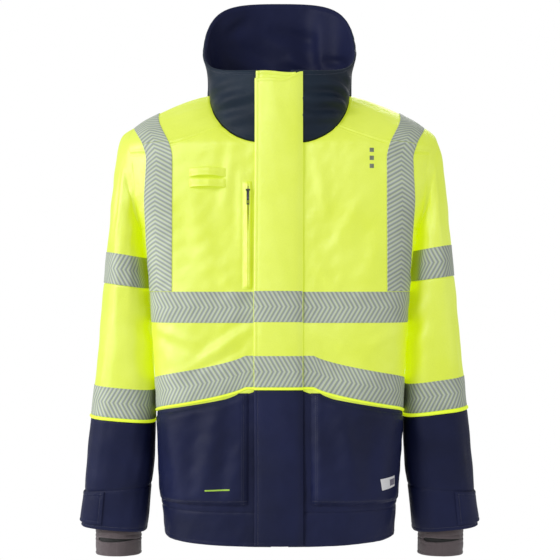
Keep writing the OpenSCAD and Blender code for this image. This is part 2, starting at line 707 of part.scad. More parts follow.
right_front_panel();
left_front_panel();
back_panel();
right_yoke();
left_yoke();
right_lower_front();
left_lower_front();
back_lower_panel();
hem_band();
collar_outer();
collar_lining();
body_lining();
inner_flap();
zip_tapes();
zip_teeth();
zip_stops();
loop_patches();
chest_tape_front();
chest_tape_back();
waist_tape_front();
waist_tape_back();
right_brace_tape();
left_brace_tape();
body_piping();
right_cargo_pocket();
left_cargo_pocket();
chest_pocket_zip();
chest_pocket_bag();
mic_loops();
side_label();
hang_loop();
main_zip_slider();
main_zip_puller();
chest_zip_slider();
chest_zip_puller();
storm_flap();
storm_flap_lower();
flap_tapes();
flap_piping();
flap_hook_patches();
right_upper_sleeve();
right_upper_sleeve_tape();
right_mid_sleeve();
left_upper_sleeve();
left_upper_sleeve_tape();
left_mid_sleeve();
right_lower_sleeve_tape();
right_sleeve_piping();
right_lower_sleeve();
right_cuff();
right_inner_cuff();
right_cuff_tab();
left_lower_sleeve_tape();
left_sleeve_piping();
left_lower_sleeve();
left_cuff();
left_inner_cuff();
left_cuff_tab();
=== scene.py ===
"""Foul weather jacket: the looks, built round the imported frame.

All cloth is made of thin closed sheets on three shared surfaces: the body's, the sleeve's and the collar's.
A surface is a function of (s, t, off) that gives points in millimetres, with s to the right and t upwards as
seen from outside. Its folds are part of it, so every layer sewn on it follows the same folds.
The frame: X to the wearer's left, -Y out of the front, +Z up.
"""

import math

import bpy
import numpy as np
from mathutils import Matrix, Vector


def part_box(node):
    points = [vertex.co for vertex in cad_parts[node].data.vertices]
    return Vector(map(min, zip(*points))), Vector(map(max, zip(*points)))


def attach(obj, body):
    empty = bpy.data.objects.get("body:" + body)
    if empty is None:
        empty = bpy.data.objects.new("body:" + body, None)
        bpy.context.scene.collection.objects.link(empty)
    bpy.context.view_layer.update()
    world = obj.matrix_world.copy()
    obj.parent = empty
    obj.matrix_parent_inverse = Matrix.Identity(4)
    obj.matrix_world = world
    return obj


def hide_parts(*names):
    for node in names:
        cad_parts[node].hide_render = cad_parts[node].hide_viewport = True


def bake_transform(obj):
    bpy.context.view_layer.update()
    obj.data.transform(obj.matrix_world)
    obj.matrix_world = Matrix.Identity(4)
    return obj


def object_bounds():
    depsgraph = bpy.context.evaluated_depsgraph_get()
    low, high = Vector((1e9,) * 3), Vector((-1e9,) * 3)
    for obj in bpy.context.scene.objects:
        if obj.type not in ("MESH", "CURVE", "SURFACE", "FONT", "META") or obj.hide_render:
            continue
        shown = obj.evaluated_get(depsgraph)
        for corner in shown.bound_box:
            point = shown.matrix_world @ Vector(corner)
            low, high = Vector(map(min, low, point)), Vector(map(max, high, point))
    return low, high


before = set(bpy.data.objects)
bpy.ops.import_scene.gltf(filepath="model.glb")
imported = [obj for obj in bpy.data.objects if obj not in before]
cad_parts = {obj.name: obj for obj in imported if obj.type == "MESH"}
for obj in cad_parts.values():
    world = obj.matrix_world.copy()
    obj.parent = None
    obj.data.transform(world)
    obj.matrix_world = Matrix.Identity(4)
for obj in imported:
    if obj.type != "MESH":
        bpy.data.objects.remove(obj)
cad_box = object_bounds()

# ---- sizes, in millimetres: the CAD's driving dimensions, and what the frame's boxes give ----

MM = 0.001


def box_mm(node):
    low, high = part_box(node)
    return np.array(low) / MM, np.array(high) / MM


CHEST_TAPE_Z, CHEST_TAPE_TOP = box_mm("chest_tape_back")[0][2], box_mm("chest_tape_back")[1][2]
TAPE_W = CHEST_TAPE_TOP - CHEST_TAPE_Z
FLAP_FREE, FLAP_SEWN = box_mm("storm_flap")[0][0], box_mm("storm_flap")[1][0]
HEM_BAND_H = box_mm("hem_band")[1][2]
CUFF_LOW, CUFF_HIGH = box_mm("left_inner_cuff")
CUFF_CENTRE = (CUFF_LOW + CUFF_HIGH) / 2

HEM_HALF_W, CHEST_HALF_W, SHOULDER_HALF_W, NECK_HALF_W = 193, 228, 262, 118
HEM_FRONT_D, FRONT_LEAN, HEM_BACK_D, BLADE_D = 145, 33, 135, 150
BACK_SQUARE = 2.8
WAIST_FRONT_Z, WAIST_SIDE_Z = 251, 205
YOKE_SIDE_Z, YOKE_RISE, YOKE_RUN = 634, 50, 176
ARMPIT_Z, FRONT_NECK_Z, NECK_Z = 510, 649, 738
DOME_Z, DOME_H, SHOULDER_SLOPE = 640, NECK_Z + 0.5 - 640, 0.74
ARM_HALF_H, ARM_HALF_U = 88, 38
ARM_Z = ARMPIT_Z + ARM_HALF_H
RIM_HALF_W, RIM_FRONT_D, RIM_BACK_D = 131, 106, 100
RIM_FRONT_Z, RIM_SIDE_Z, RIM_BACK_Z = 769, 818, 915
PIPING_H = 4
LEAN = math.atan(FRONT_LEAN / FRONT_NECK_Z)
RIGHT, LEFT = -1, 1
FRONT, BACK = False, True
SIDE_NAME = {RIGHT: "right", LEFT: "left"}


# ---- small maths ----

def mix(a, b, t):
    return a + (b - a) * t


def clamp(x, low=0.0, high=1.0):
    return np.minimum(np.maximum(x, low), high)


def ease(x):
    c = clamp(x)
    return c * c * (3 - 2 * c)


def spow(x, p):
    return np.sign(x) * np.abs(x) ** p


def bell(x, width):
    return np.exp(-((x / width) ** 2))


def outward(s, side):
    """The share of the way outwards, from a share of the way to the right as seen from outside."""
    return s if side == LEFT else 1 - s


def hermite(t, p0, m0, p1, m1):
    t2, t3 = t * t, t * t * t
    return (2 * t3 - 3 * t2 + 1) * p0 + (t3 - 2 * t2 + t) * m0 + (3 * t2 - 2 * t3) * p1 + (t3 - t2) * m1


def curve(x, stations):
    """Smooth curve through [position, value] stations."""
    p = np.array(stations, float)
    before = np.maximum(np.arange(len(p)) - 1, 0)
    after = np.minimum(np.arange(len(p)) + 1, len(p) - 1)
    slope = (p[after, 1] - p[before, 1]) / (p[after, 0] - p[before, 0])
    i = np.clip(np.searchsorted(p[:, 0], x, side="right") - 1, 0, len(p) - 2)
    h = p[i + 1, 0] - p[i, 0]
    t = clamp((x - p[i, 0]) / h)
    return hermite(t, p[i, 1], slope[i] * h, p[i + 1, 1], slope[i + 1] * h)


def ripple(a, b, size, seed):
    """Smooth noise between about -1 and 1 over two coordinates, a seeded sum of waves about `size` long."""
    rng = np.random.default_rng(seed)
    total = 0.0
    for _ in range(7):
        angle, phase = rng.uniform(0, 2 * math.pi, 2)
        wave = size * rng.uniform(0.7, 1.6)
        total = total + np.sin((a * math.cos(angle) + b * math.sin(angle)) * 2 * math.pi / wave + phase)
    return total / 4


def folds(a, b, table):
    """Soft folds, each along a line and highest in its middle, with a shallow valley beside it."""
    total = 0.0
    for a0, b0, a1, b1, width, height in table:
        da, db = a1 - a0, b1 - b0
        k = ((a - a0) * da + (b - b0) * db) / (da * da + db * db)
        across = ((a - a0) * db - (b - b0) * da) / math.hypot(da, db)
        ridge = bell(across, width) - 0.55 * bell(across - 1.7 * width, width)
        total = total + height * np.sin(math.pi * clamp(k)) ** 0.8 * ridge
    return total


# ---- the body's surface ----

def half_w(z):
    """Half the body's width at a height: nearly straight up to the shoulders, then a dome to the neck."""
    low = curve(z, [[0, HEM_HALF_W], [140, HEM_HALF_W + 8], [350, HEM_HALF_W + 19],
                    [ARMPIT_Z, CHEST_HALF_W], [580, SHOULDER_HALF_W - 8], [DOME_Z, SHOULDER_HALF_W]])
    closing = (1 - clamp((z - DOME_Z) / DOME_H) ** 2) ** SHOULDER_SLOPE
    return np.where(z < DOME_Z, low, NECK_HALF_W + (SHOULDER_HALF_W - NECK_HALF_W) * closing)


def front_d(z):
    return (HEM_FRONT_D - FRONT_LEAN * z / FRONT_NECK_Z
            - 76 * clamp((z - FRONT_NECK_Z) / (NECK_Z - FRONT_NECK_Z)) ** 1.3)


def back_d(z):
    return curve(z, [[0, HEM_BACK_D], [200, HEM_BACK_D - 2], [360, HEM_BACK_D + 6],
                     [560, BLADE_D], [680, BLADE_D - 26], [NECK_Z, BLADE_D - 60]])


def squareness(z, back):
    front = curve(z, [[0, 3.0], [380, 5.5], [620, 5.5], [NECK_Z, 2.6]])
    return np.where(back, BACK_SQUARE, front)


def section(z, back):
    """The body's outline at a height: how square it is, its half-width and its depth in front or behind."""
    return squareness(z, back), half_w(z), np.where(back, back_d(z), front_d(z))


def moved_out(x, y, z, off):
    """Points of the body's surface moved out of it by off."""
    back, e = y > 0, 0.5
    n, a, b = section(z, back)
    slope_a = (half_w(z + e) - half_w(z - e)) / (2 * e)
    slope_b = np.where(back, back_d(z + e) - back_d(z - e), front_d(z + e) - front_d(z - e)) / (2 * e)
    p, q = x / a, y / b
    g = np.stack([spow(p, n - 1) / a, spow(q, n - 1) / b,
                  -(np.abs(p) ** n * slope_a / a + np.abs(q) ** n * slope_b / b)], -1)
    g /= np.linalg.norm(g, axis=-1, keepdims=True)
    return np.stack([x, y, z], -1) + np.asarray(off)[..., None] * g


# Folds of the body: X and Z where each starts and ends, its width and its height
CHEST_FOLDS = [(-70, 655, -96, 520, 9, 4.2), (-64, 640, -60, 440, 6, 2.2), (-150, 600, -104, 400, 17, 4.0),
               (-110, 470, -60, 380, 10, 2.4), (52, 650, 80, 520, 9, 3.0), (150, 590, 66, 440, 13, 3.2),
               (168, 520, 130, 400, 14, 2.6), (46, 470, 100, 400, 9, 2.2)]
WAIST_FOLDS = [(-44, 352, -130, 296, 9, 4.2), (-50, 322, -160, 268, 6, -2.4), (-206, 352, -120, 318, 8, 3.4),
               (-196, 330, -150, 262, 12, 2.0), (46, 354, 150, 300, 10, 3.6), (44, 316, 130, 276, 7, -2.2),
               (204, 350, 130, 312, 9, 2.6)]
SKIRT_FOLDS = [(-96, 236, -124, 70, 15, 4.6), (-172, 215, -150, 60, 15, 4.2), (92, 236, 126, 80, 15, 4.2),
               (178, 205, 156, 60, 15, 4.2), (-60, 180, -80, 60, 12, 2.4)]
BACK_FOLDS = [(-150, 560, -60, 430, 14, 4.0), (150, 560, 50, 420, 14, 4.0), (-60, 640, -20, 330, 18, 2.6),
              (70, 380, 40, 120, 16, 3.2), (-90, 340, -110, 90, 16, 3.6), (120, 330, 160, 250, 9, 3.0),
              (-60, 330, -150, 262, 8, 3.0)]


def body_folds(x, y, z):
    """How far the cloth of the body stands out of its smooth surface."""
    girth = np.arctan2(x, -y) * 200
    skirt = (1 - ease((z - 60) / 330)) * (ease(z / 90) * 0.7 + 0.3)
    total = (2.6 * skirt * ripple(girth, z * 0.22, 95, 3)
             + 1.0 * ripple(girth, z * 0.4, 70, 8) + 0.5 * ripple(girth, z, 26, 5))
    front = 0.6 * folds(x, z, CHEST_FOLDS) + 0.8 * folds(x, z, WAIST_FOLDS) + folds(x, z, SKIRT_FOLDS)
    shoulder_slope = -3.0 * bell(np.abs(x) - 195, 45) * ease((z - 655) / 50)
    return total + ease(-y / 40) * front + ease(y / 40) * folds(x, z, BACK_FOLDS) + shoulder_slope


def plan(theta, z):
    """X and Y of the smooth body at the angle theta from the centre front towards the wearer's left."""
    n, a, b = section(z, np.cos(theta) < 0)
    r = (np.abs(np.sin(theta) / a) ** n + np.abs(np.cos(theta) / b) ** n) ** (-1 / n)
    return r * np.sin(theta), -r * np.cos(theta)


def on_body(theta, z, off):
    """Draped points of the body."""
    x, y = plan(theta, z)
    return moved_out(x, y, z, off + body_folds(x, y, z))


def angle_at_x(x, z):
    """The angle at which the front has a given X."""
    n, a, b = section(z, FRONT)
    return np.arctan2(x, b * (1 - clamp(np.abs(x) / a) ** n) ** (1 / n))


ARM_KNEE = {FRONT: math.radians(60), BACK: math.radians(50)}  # where cloth starts to be drawn in
UNDER_SLEEVE = 0.03  # how far, in radians, the body's cloth runs on under the sleeve


def drawn_in(theta, z, back):
    """Angles on the front or the back, drawn in near the side seam to the armhole's edge over its height."""
    u = math.pi / 2 - np.radians(ARM_HALF_U) * np.sqrt(clamp(1 - ((z - ARM_Z) / ARM_HALF_H) ** 2))
    n, a, b = section(z, back)
    edge = np.arctan2(a * spow(np.sin(u), 2 / n), b * spow(np.cos(u), 2 / n))
    middle, knee = math.pi if back else 0.0, ARM_KNEE[back]
    turn = theta - middle
    share = (np.abs(turn) - knee) / (math.pi / 2 - knee)
    edge = np.minimum(edge + UNDER_SLEEVE, math.pi / 2)
    return middle + np.sign(turn) * np.where(share > 0, mix(knee, edge, share), np.abs(turn))


def neck_x(z):
    """The neckline's X at a height on the front."""
    w = np.arccos(clamp((NECK_Z - z) / (NECK_Z - FRONT_NECK_Z)) ** (1 / 1.2))
    return NECK_HALF_W * np.sin(w) ** (2 / 3)


def neck_height(x):
    """The neckline's height at an X on the front."""
    w = np.arcsin(clamp(x / NECK_HALF_W) ** 1.5)
    return NECK_Z - (NECK_Z - FRONT_NECK_Z) * np.cos(w) ** 1.2


def even_angle(z, first, last, s, samples=48):
    """The angle at the share s of the way round from first to last, measured along the cloth."""
    k = np.linspace(0, 1, samples)
    theta = first[..., None] + (last - first)[..., None] * k
    zz = np.broadcast_to(z[..., None], theta.shape)
    x, y = plan(theta, zz)
    length = np.cumsum(np.hypot(np.diff(x), np.diff(y)), -1)
    length = np.concatenate([np.zeros(length.shape[:-1] + (1,)), length], -1)
    target = s * length[..., -1]
    i = np.clip((length <= target[..., None]).sum(-1) - 1, 0, samples - 2)
    low = np.take_along_axis(length, i[..., None], -1)[..., 0]
    high = np.take_along_axis(length, i[..., None] + 1, -1)[..., 0]
    share = (i + (target - low) / np.maximum(high - low, 1e-9)) / (samples - 1)
    return mix(first, last, share)


def patch(z_low, z_high, first, last, side=LEFT, dome=False, armhole=None):
    """A piece of the body between two heights and two angles, which are functions of s and of the height.
    On the right side it is the mirror image, with the folds of that side. armhole says which half of an
    armhole its outer edge follows: FRONT, BACK or none."""
    def surface(s, t, off):
        k = outward(s, side)
        low, high = z_low(k), z_high(k)
        if dome:  # even steps over the round of the shoulder
            start, end = np.arcsin((low - DOME_Z) / DOME_H), np.arcsin((high - DOME_Z) / DOME_H)
            z = DOME_Z + DOME_H * np.sin(mix(start, end, t))
        else:
            z = mix(low, high, t)
        theta = even_angle(z, first(z), last(z), k)
        if armhole is not None:
            theta = drawn_in(theta, z, armhole)
        return on_body(side * theta, z, off)
    return surface


def level(z):
    """An edge at one height."""
    return lambda s: np.full_like(s, float(z))


def waist_line(rise):
    """The curved lower edge of the yellow cloth on the front, by the share of the way to the side."""
    return lambda s: mix(WAIST_FRONT_Z, WAIST_SIDE_Z, clamp((s - 0.07) / 0.85) ** 0.7) + rise


def yoke_height(x):
    """The height of the yoke's seam at an X on the front. It rises towards the neck."""
    return YOKE_SIDE_Z + YOKE_RISE * clamp((SHOULDER_HALF_W - x) / YOKE_RUN) ** 1.6


def panel_top(x):
    """The front panel ends at the yoke's seam, or at the neckline where that is lower."""
    return np.minimum(yoke_height(x), neck_height(x))


def following(height_at_x, first):
    """The edge of a patch from the angle first to the side, along a line given by X."""
    k = np.linspace(0, 1, 240)
    z = np.full_like(k, 660.0)
    for _ in range(12):
        theta = even_angle(z, first(z), side_seam(z), k)
        z = mix(z, height_at_x(plan(theta, z)[0]), 0.6)
    return lambda s: np.interp(s, k, z)


def at_x(x):
    """An edge at one X."""
    return lambda z: angle_at_x(x, z)


def side_seam(z):
    return np.full_like(z, math.pi / 2)


def far_side(z):
    return np.full_like(z, 3 * math.pi / 2)


def centre_back(z):
    return np.full_like(z, math.pi)


# ---- the brace tapes' path over the shoulder ----

BRACE_X, BRACE_LEAN = 174, 29  # the inner edge on the chest, and how far it goes out over the shoulder
BRACE_W, BRACE_END_W, BRACE_TOP_W = 46, 41, 40
ARC_Z, ARC_SHARE = 560, 0.2    # where the path starts to turn over the shoulder


def leave_body(x, phi):
    """Y and Z where a ray in the plane of x, at the angle phi from the front, leaves the body."""
    low, high = np.full_like(x, 20.0), np.full_like(x, 220.0)
    for _ in range(26):
        r = (low + high) / 2
        y, z = -r * np.cos(phi), np.minimum(DOME_Z + DOME_H - 0.01, ARC_Z + r * np.sin(phi))
        n, a, b = section(z, y > 0)
        outside = np.abs(x / a) ** n + np.abs(y / b) ** n > 1
        low, high = np.where(outside, low, r), np.where(outside, r, high)
    return y, z


def brace(side):
    """A tape from the chest tape in front, over the shoulder, to the chest tape behind."""
    def surface(s, t, off):
        k = clamp(np.minimum(t, 1 - t) / ARC_SHARE)
        phi = math.pi * clamp((t - ARC_SHARE) / (1 - 2 * ARC_SHARE))
        width = np.where(k < 1, mix(BRACE_END_W, BRACE_W, k), mix(BRACE_W, BRACE_TOP_W, np.sin(phi)))
        x = BRACE_X + BRACE_LEAN * ease(2 * np.sin(phi) - 1) + width * outward(s, side)
        y_arc, z_arc = leave_body(x, phi)
        z_line = mix(CHEST_TAPE_TOP + 0.4, ARC_Z, k)
        back = t > 0.5
        n, a, b = section(z_line, back)
        y_line = b * (1 - clamp(x / a, 0, 0.9995) ** n) ** (1 / n)
        y = np.where(k < 1, np.where(back, y_line, -y_line), y_arc)
        z = np.where(k < 1, z_line, z_arc)
        return moved_out(side * x, y, z, off + body_folds(side * x, y, z))
    return surface


# ---- the sleeve's surface ----

SLEEVE_GAP, WRIST_GAP, GAP_FROM_Z, GAP_RUN = 2.0, 24, 172, 164  # the sleeve leaves the body near the wrist
SLEEVE_TOP_X, SLEEVE_SPREAD, SLEEVE_TOP_Z, SLEEVE_RUN = 276, 60, 631, 614


def sleeve_in_x(z):
    return half_w(np.array(float(z))) + SLEEVE_GAP + WRIST_GAP * clamp((GAP_FROM_Z - z) / GAP_RUN) ** 1.1


def sleeve_out_x(z):
    return SLEEVE_TOP_X + SLEEVE_SPREAD * (SLEEVE_TOP_Z - z) / SLEEVE_RUN


# Stations down the sleeve: inner height, outer X, outer height, half-depth, middle Y
SLEEVE_CAP = [[507, 264, 671, 95, 4], [502, 272, 651, 96, 4], [495, 278, 612, 96, 3]]


def sleeve_stations(tape_z, low_tape_z, low_rise):
    """The stations of a sleeve whose tapes' lower inner corners are at those heights. The lower tape rises
    by low_rise towards the outside."""
    down = [[0, 489, 560], [0, 484, 520], [0.03, tape_z + 51, tape_z + 61], [0.15, tape_z, tape_z + 10],
            [0.3, 370, 380], [0.45, 290, 298], [0.6, low_tape_z + TAPE_W, low_tape_z + TAPE_W + low_rise],
            [0.72, low_tape_z, low_tape_z + low_rise], [0.85, 138, 136], [0.95, 84, 76], [1, 8, 18]]
    return SLEEVE_CAP + [[inner, sleeve_out_x(outer), outer, mix(96, 50, share), mix(0, -25, share)]
                         for share, inner, outer in down]


STATIONS = {RIGHT: sleeve_stations(413, 194, 9), LEFT: sleeve_stations(425, 204, 14)}
SLEEVE_SLIM, CUFF_SLIM = 2.6, 1.0  # how far the draped sleeve and cuff lie inside the smooth surface
SLEEVE_SQUARE = 2.6
V_TAPE, V_ELBOW, V_LOW_TAPE, V_PIPING, V_CUFF, V_END = 5, 6, 9, 10, 12, 13


def armhole_ring(w):
    z = ARM_Z + ARM_HALF_H * np.cos(w)
    u = math.pi / 2 - np.radians(ARM_HALF_U) * np.sin(w)
    n, a, b = section(z, np.cos(u) < 0)
    return np.stack([a * spow(np.sin(u), 2 / n), -b * spow(np.cos(u), 2 / n), z], -1)


def sleeve_ring(station, w):
    inner_z, outer_x, outer_z, half_d, middle_y = station
    inner_x = sleeve_in_x(inner_z)
    across = spow(np.cos(w), 2 / SLEEVE_SQUARE) * 0.5
    return np.stack([(inner_x + outer_x) / 2 + (outer_x - inner_x) * across,
                     middle_y - half_d * spow(np.sin(w), 2 / SLEEVE_SQUARE),
                     (inner_z + outer_z) / 2 + (outer_z - inner_z) * across], -1)


def sleeve_base(v, w, side):
    """Points of the smooth left sleeve, v stations below its cap and at the angle w from the outside to the
    front. The right sleeve has stations of its own, and on_sleeve mirrors them."""
    rings = np.stack([armhole_ring(w)] + [sleeve_ring(p, w) for p in STATIONS[side]])
    k = clamp(v + 1, 0, len(rings) - 1.0001)
    i = np.floor(k).astype(int)
    last = len(rings) - 1

    def pick(j):
        return np.take_along_axis(rings, np.clip(j, 0, last)[None, ..., None], 0)[0]
    slope0 = (pick(i + 1) - pick(i - 1)) / np.where(i > 0, 2, 1)[..., None]
    slope1 = (pick(i + 2) - pick(i)) / np.where(i + 2 <= last, 2, 1)[..., None]
    return hermite((k - i)[..., None], pick(i), slope0, pick(i + 1), slope1)


def sleeve_folds(v, w, p, side):
    """How far the cloth of the sleeve stands out of its smooth surface."""
    girth = w * 85 + (40 if side == LEFT else 0)
    z = p[..., 2]
    seed = 20 if side == LEFT else 40

    def about(angle, width):
        return bell(np.arctan2(np.sin(w - angle), np.cos(w - angle)), width)
    taper = mix(1.0, 0.5, clamp(v / V_END))
    total = taper * (2.1 * ripple(girth, z * 0.3, 80, seed) + 1.0 * ripple(girth, z * 0.8, 42, seed + 1))
    elbow = (2.8 * np.sin((z - 335) / 9.0 + 1.2 * w) * bell(z - 350, 46)
             + 2.2 * np.sin((z - 480) / 10.0 - 1.1 * w) * bell(z - 500, 34)
             + 1.6 * np.sin((z - 260) / 11.0 + 0.9 * w) * bell(z - 268, 34))
    total = total + about(2.5, 0.75) * elbow + 0.5 * about(-2.3, 0.8) * elbow
    total = total + 2.6 * about(1.7, 0.45) * np.sin((z - 150) / 17.0) * bell(z - 140, 50)
    crease = 1.8 * about(1.15, 0.2) * bell(z - 575, 75) + 1.2 * about(1.75, 0.25) * bell(z - 520, 60)
    cap = (ease(v + 1) * 0.9 + 0.1) * (1 - 0.9 * about(math.pi, 1.0) * bell(z - 485, 45))
    calm = 1 - 0.75 * bell(v - V_CUFF, 0.25)
    slim = SLEEVE_SLIM * ease((v + 0.6) / 1.2) + CUFF_SLIM * ease((v - V_CUFF + 0.4) / 0.5)
    return (total - crease) * cap * calm - slim


def on_sleeve(v, w, off, side):
    """Draped points of a sleeve."""
    e = 0.02
    p = sleeve_base(v, w, side)
    along_w = sleeve_base(v, w + e, side) - sleeve_base(v, w - e, side)
    along_v = sleeve_base(np.minimum(v + e, V_END), w, side) - sleeve_base(np.maximum(v - e, -1), w, side)
    g = np.cross(along_w, along_v)
    g /= np.maximum(np.linalg.norm(g, axis=-1, keepdims=True), 1e-9)
    q = p + np.asarray(off + sleeve_folds(v, w, p, side))[..., None] * g
    return q * np.array([side, 1, 1])


def tube(v0, v1, side, w0=0.0, w1=360.0):
    """A piece of the sleeve between two stations and two angles, seen from outside."""
    def surface(s, t, off):
        k = outward(s, side)
        return on_sleeve(mix(v0, v1, t), np.radians(mix(w0, w1, k)), off, side)
    return surface


# ---- the collar's surface ----

COLLAR_END_W = 4.6
NECK_SIDE_W = 75


def neck_point(w):
    """The neckline by the angle w, in degrees, round the neck from the front."""
    v = np.where(w > 180, 360 - w, w)
    m = np.radians(np.minimum(v * 90 / NECK_SIDE_W, 90))
    front = v < NECK_SIDE_W
    z = np.where(front, NECK_Z - (NECK_Z - FRONT_NECK_Z) * np.maximum(np.cos(m), 0) ** 1.2, NECK_Z)
    n, a, b = section(z, FRONT)
    x_front = neck_x(z)
    y_front = -b * (1 - clamp(x_front / a) ** n) ** (1 / n)
    top_n, top_half_w, _ = section(np.array(float(NECK_Z)), FRONT)
    side_u = np.arcsin((NECK_HALF_W / top_half_w) ** (top_n / 2))
    u = mix(side_u, math.pi, (v - NECK_SIDE_W) / (180 - NECK_SIDE_W))
    n, a, b = section(z, np.cos(u) < 0)
    x = np.where(front, x_front, a * spow(np.maximum(np.sin(u), 0), 2 / n))
    y = np.where(front, y_front, -b * spow(np.cos(u), 2 / n))
    return np.stack([np.where(w > 180, -x, x), y, z], -1)


def rim_point(w):
    """The collar's top edge by the same angle."""
    r = np.radians(w)
    s = -np.cos(r)
    p, q = spow(np.sin(r), 2 / 2.6), spow(s, 2 / 2.6)
    depth = np.where(s > 0, RIM_BACK_D, RIM_FRONT_D)
    z = np.where(s < 0, RIM_FRONT_Z + (RIM_SIDE_Z - RIM_FRONT_Z) * np.maximum(1 + s, 0) ** 2,
                 mix(RIM_SIDE_Z, RIM_BACK_Z, (np.maximum(s, 0) ** 0.8 + np.sin(math.pi / 2 * s)) / 2))
    return np.stack([RIM_HALF_W * p, depth * q, z], -1)


# Folds inside the back of the collar, as those of the body are given
COLLAR_FOLDS = [(76, 925, 88, 750, 19, -10.0), (-20, 872, 72, 842, 13, 6.5), (-90, 846, -10, 800, 14, 6.0),
                (10, 820, 70, 790, 10, -5.5), (-50, 890, -100, 850, 11, 5.0), (84, 812, 128, 800, 9, 6.5)]


def collar_folds(w, t, p):
    """How far the collar's cloth stands out of its smooth wall."""
    turn = np.where(w > 180, w - 360, w)
    arch = np.sin(math.pi * clamp(t))
    x, z = p[..., 0], p[..., 2]
    front_left, front_right = bell(turn - 34, 26), bell(turn + 36, 26)
    wrinkles = (5.2 * front_left * np.sin(z / 4.6 + turn / 12 + 0.9 * np.sin(turn / 8))
                + 3.0 * front_right * np.sin(z / 5.5 - turn / 12)) * arch
    back = ease((np.abs(turn) - 80) / 50)
    inside = back * arch ** 0.5 * folds(x, z, COLLAR_FOLDS)
    belly = arch * (3.0 * bell(np.abs(turn) - 30, 34) - 4.2 * bell(np.abs(turn) - 90, 36))
    soft = 1.3 * ripple(x, z + 0.7 * p[..., 1], 55, 71) * arch
    return wrinkles + inside + belly + soft


def collar_wall(s, t, off):
    """The collar, from the neckline to its rim, open at the centre front."""
    w = mix(COLLAR_END_W, 360 - COLLAR_END_W, s)
    neck, rim = neck_point(w), rim_point(w)
    p = mix(neck, rim, t[..., None])
    out = np.stack([p[..., 0] / RIM_HALF_W, p[..., 1] / RIM_BACK_D, np.zeros_like(t)], -1)
    out /= np.maximum(np.linalg.norm(out, axis=-1, keepdims=True), 1e-9)
    return p + np.asarray(off + collar_folds(w, t, p))[..., None] * out


# ---- straight pieces of the front, in a frame that leans back with it ----

def lean(x, y, z):
    """Points of the leaning front: x across, y behind the front's face, z up along the centre front."""
    c, s = math.cos(LEAN), math.sin(LEAN)
    return np.stack([x + 0 * z, -HEM_FRONT_D + y * c + z * s, z * c - y * s], -1)


def flap_depth(x, z):
    """How far the flap's middle layer stands in front of the front's face: it bulges over the zip."""
    k = clamp((x - FLAP_FREE) / (FLAP_SEWN - FLAP_FREE))
    bulge = 3.8 + 5.2 * np.sin(math.pi * clamp(k * 0.92 + 0.04)) ** 0.7 - 2.4 * ease((k - 0.86) / 0.14)
    wave = 0.9 * ripple(x * 0.8, z * 0.6, 120, 91) + 0.35 * ripple(x, z, 34, 92)
    return bulge + wave * (0.3 + np.sin(math.pi * k))


def flap_surface(z_low, z_high, x_low=FLAP_FREE, x_high=FLAP_SEWN):
    def surface(s, t, off):
        x = mix(x_low, x_high, s)
        low = z_low(s) if callable(z_low) else z_low
        high = z_high(s) if callable(z_high) else z_high
        z = mix(low, high, t)
        sway = 0.8 * np.sin(z / 95.0 + 0.7) * (1 - s)
        return lean(x + sway, -flap_depth(x, z) - off, z)
    return surface


def flat_piece(x0, x1, z0, z1, depth, sway=0.0):
    """A straight piece parallel to the front's face, that far in front of it."""
    def surface(s, t, off):
        z = mix(z0, z1, t)
        return lean(mix(x0, x1, s), -depth - off + sway * np.sin(z / 60.0), z)
    return surface


# ---- mesh building ----

EDGE_STEPS = [0, 0.35, 0.9, 1.8, 3.2, 5.2, 6.0, 6.8, 9.0]  # distances from an edge that need points
STITCH_INSET = 6.0
SEAM_DEPTH = 1.1
FAR = 1e4  # a closed tube has no edges at its ends
threads = {}


def ticks(length, step):
    """Shares of a length with points a step apart, and closer near both ends."""
    near = [d for d in EDGE_STEPS if d < length * 0.38]
    count = max(1, round((length - 2 * near[-1]) / step))
    middle = np.linspace(near[-1], length - near[-1], count + 1)
    return np.concatenate([near[:-1], middle, [length - d for d in near[:-1]][::-1]]) / length


def add_mesh(name, points, faces, material_list, face_slots=None):
    mesh = bpy.data.meshes.new(name)
    mesh.from_pydata((points * MM).tolist(), [], faces.tolist() if hasattr(faces, "tolist") else faces)
    for material in material_list:
        mesh.materials.append(material)
    if face_slots is not None:
        mesh.polygons.foreach_set("material_index", face_slots)
    mesh.polygons.foreach_set("use_smooth", np.ones(len(mesh.polygons), bool))
    obj = bpy.data.objects.new(name, mesh)
    bpy.context.scene.collection.objects.link(obj)
    return obj


def cell_corners(nu, nv):
    """The corners (i, j) of each cell of a grid, anticlockwise as seen from outside."""
    i, j = (a.ravel() for a in np.meshgrid(np.arange(nu), np.arange(nv), indexing="ij"))
    return np.stack([i, i + 1, i + 1, i], -1), np.stack([j, j, j + 1, j + 1], -1)


def grid_faces(nu, nv, wrap):
    """Faces of a closed sheet, whose outer grid comes first and whose inner grid follows, and their corners'
    places in the grid."""
    row, half = nv + 1, (nu if wrap else nu + 1) * (nv + 1)

    def at(layer, i, j):
        return layer * half + (i % nu if wrap else i) * row + j
    ci, cj = cell_corners(nu, nv)
    outer, inner = (at(0, ci, cj), ci, cj), tuple(a[:, ::-1] for a in (at(1, ci, cj), ci, cj))
    parts = [outer, inner]
    outwards, inwards = np.array([1, 1, 0, 0]), np.array([0, 0, 1, 1])  # the layers of a rim face's corners
    rims = [(nu, 0, outwards, False), (nu, nv, inwards, False),
            (nv, 0, inwards, True), (nv, nu, outwards, True)]
    for count, edge, layer, upright in rims[:2] if wrap else rims:
        k = np.arange(count)
        along = np.stack([k, k + 1, k + 1, k], -1)
        i, j = (edge + 0 * along, along) if upright else (along, edge + 0 * along)
        parts.append((at(layer, i, j), i, j))
    return [np.concatenate([p[k] for p in parts]) for k in range(3)], len(outer[0]), len(inner[0])


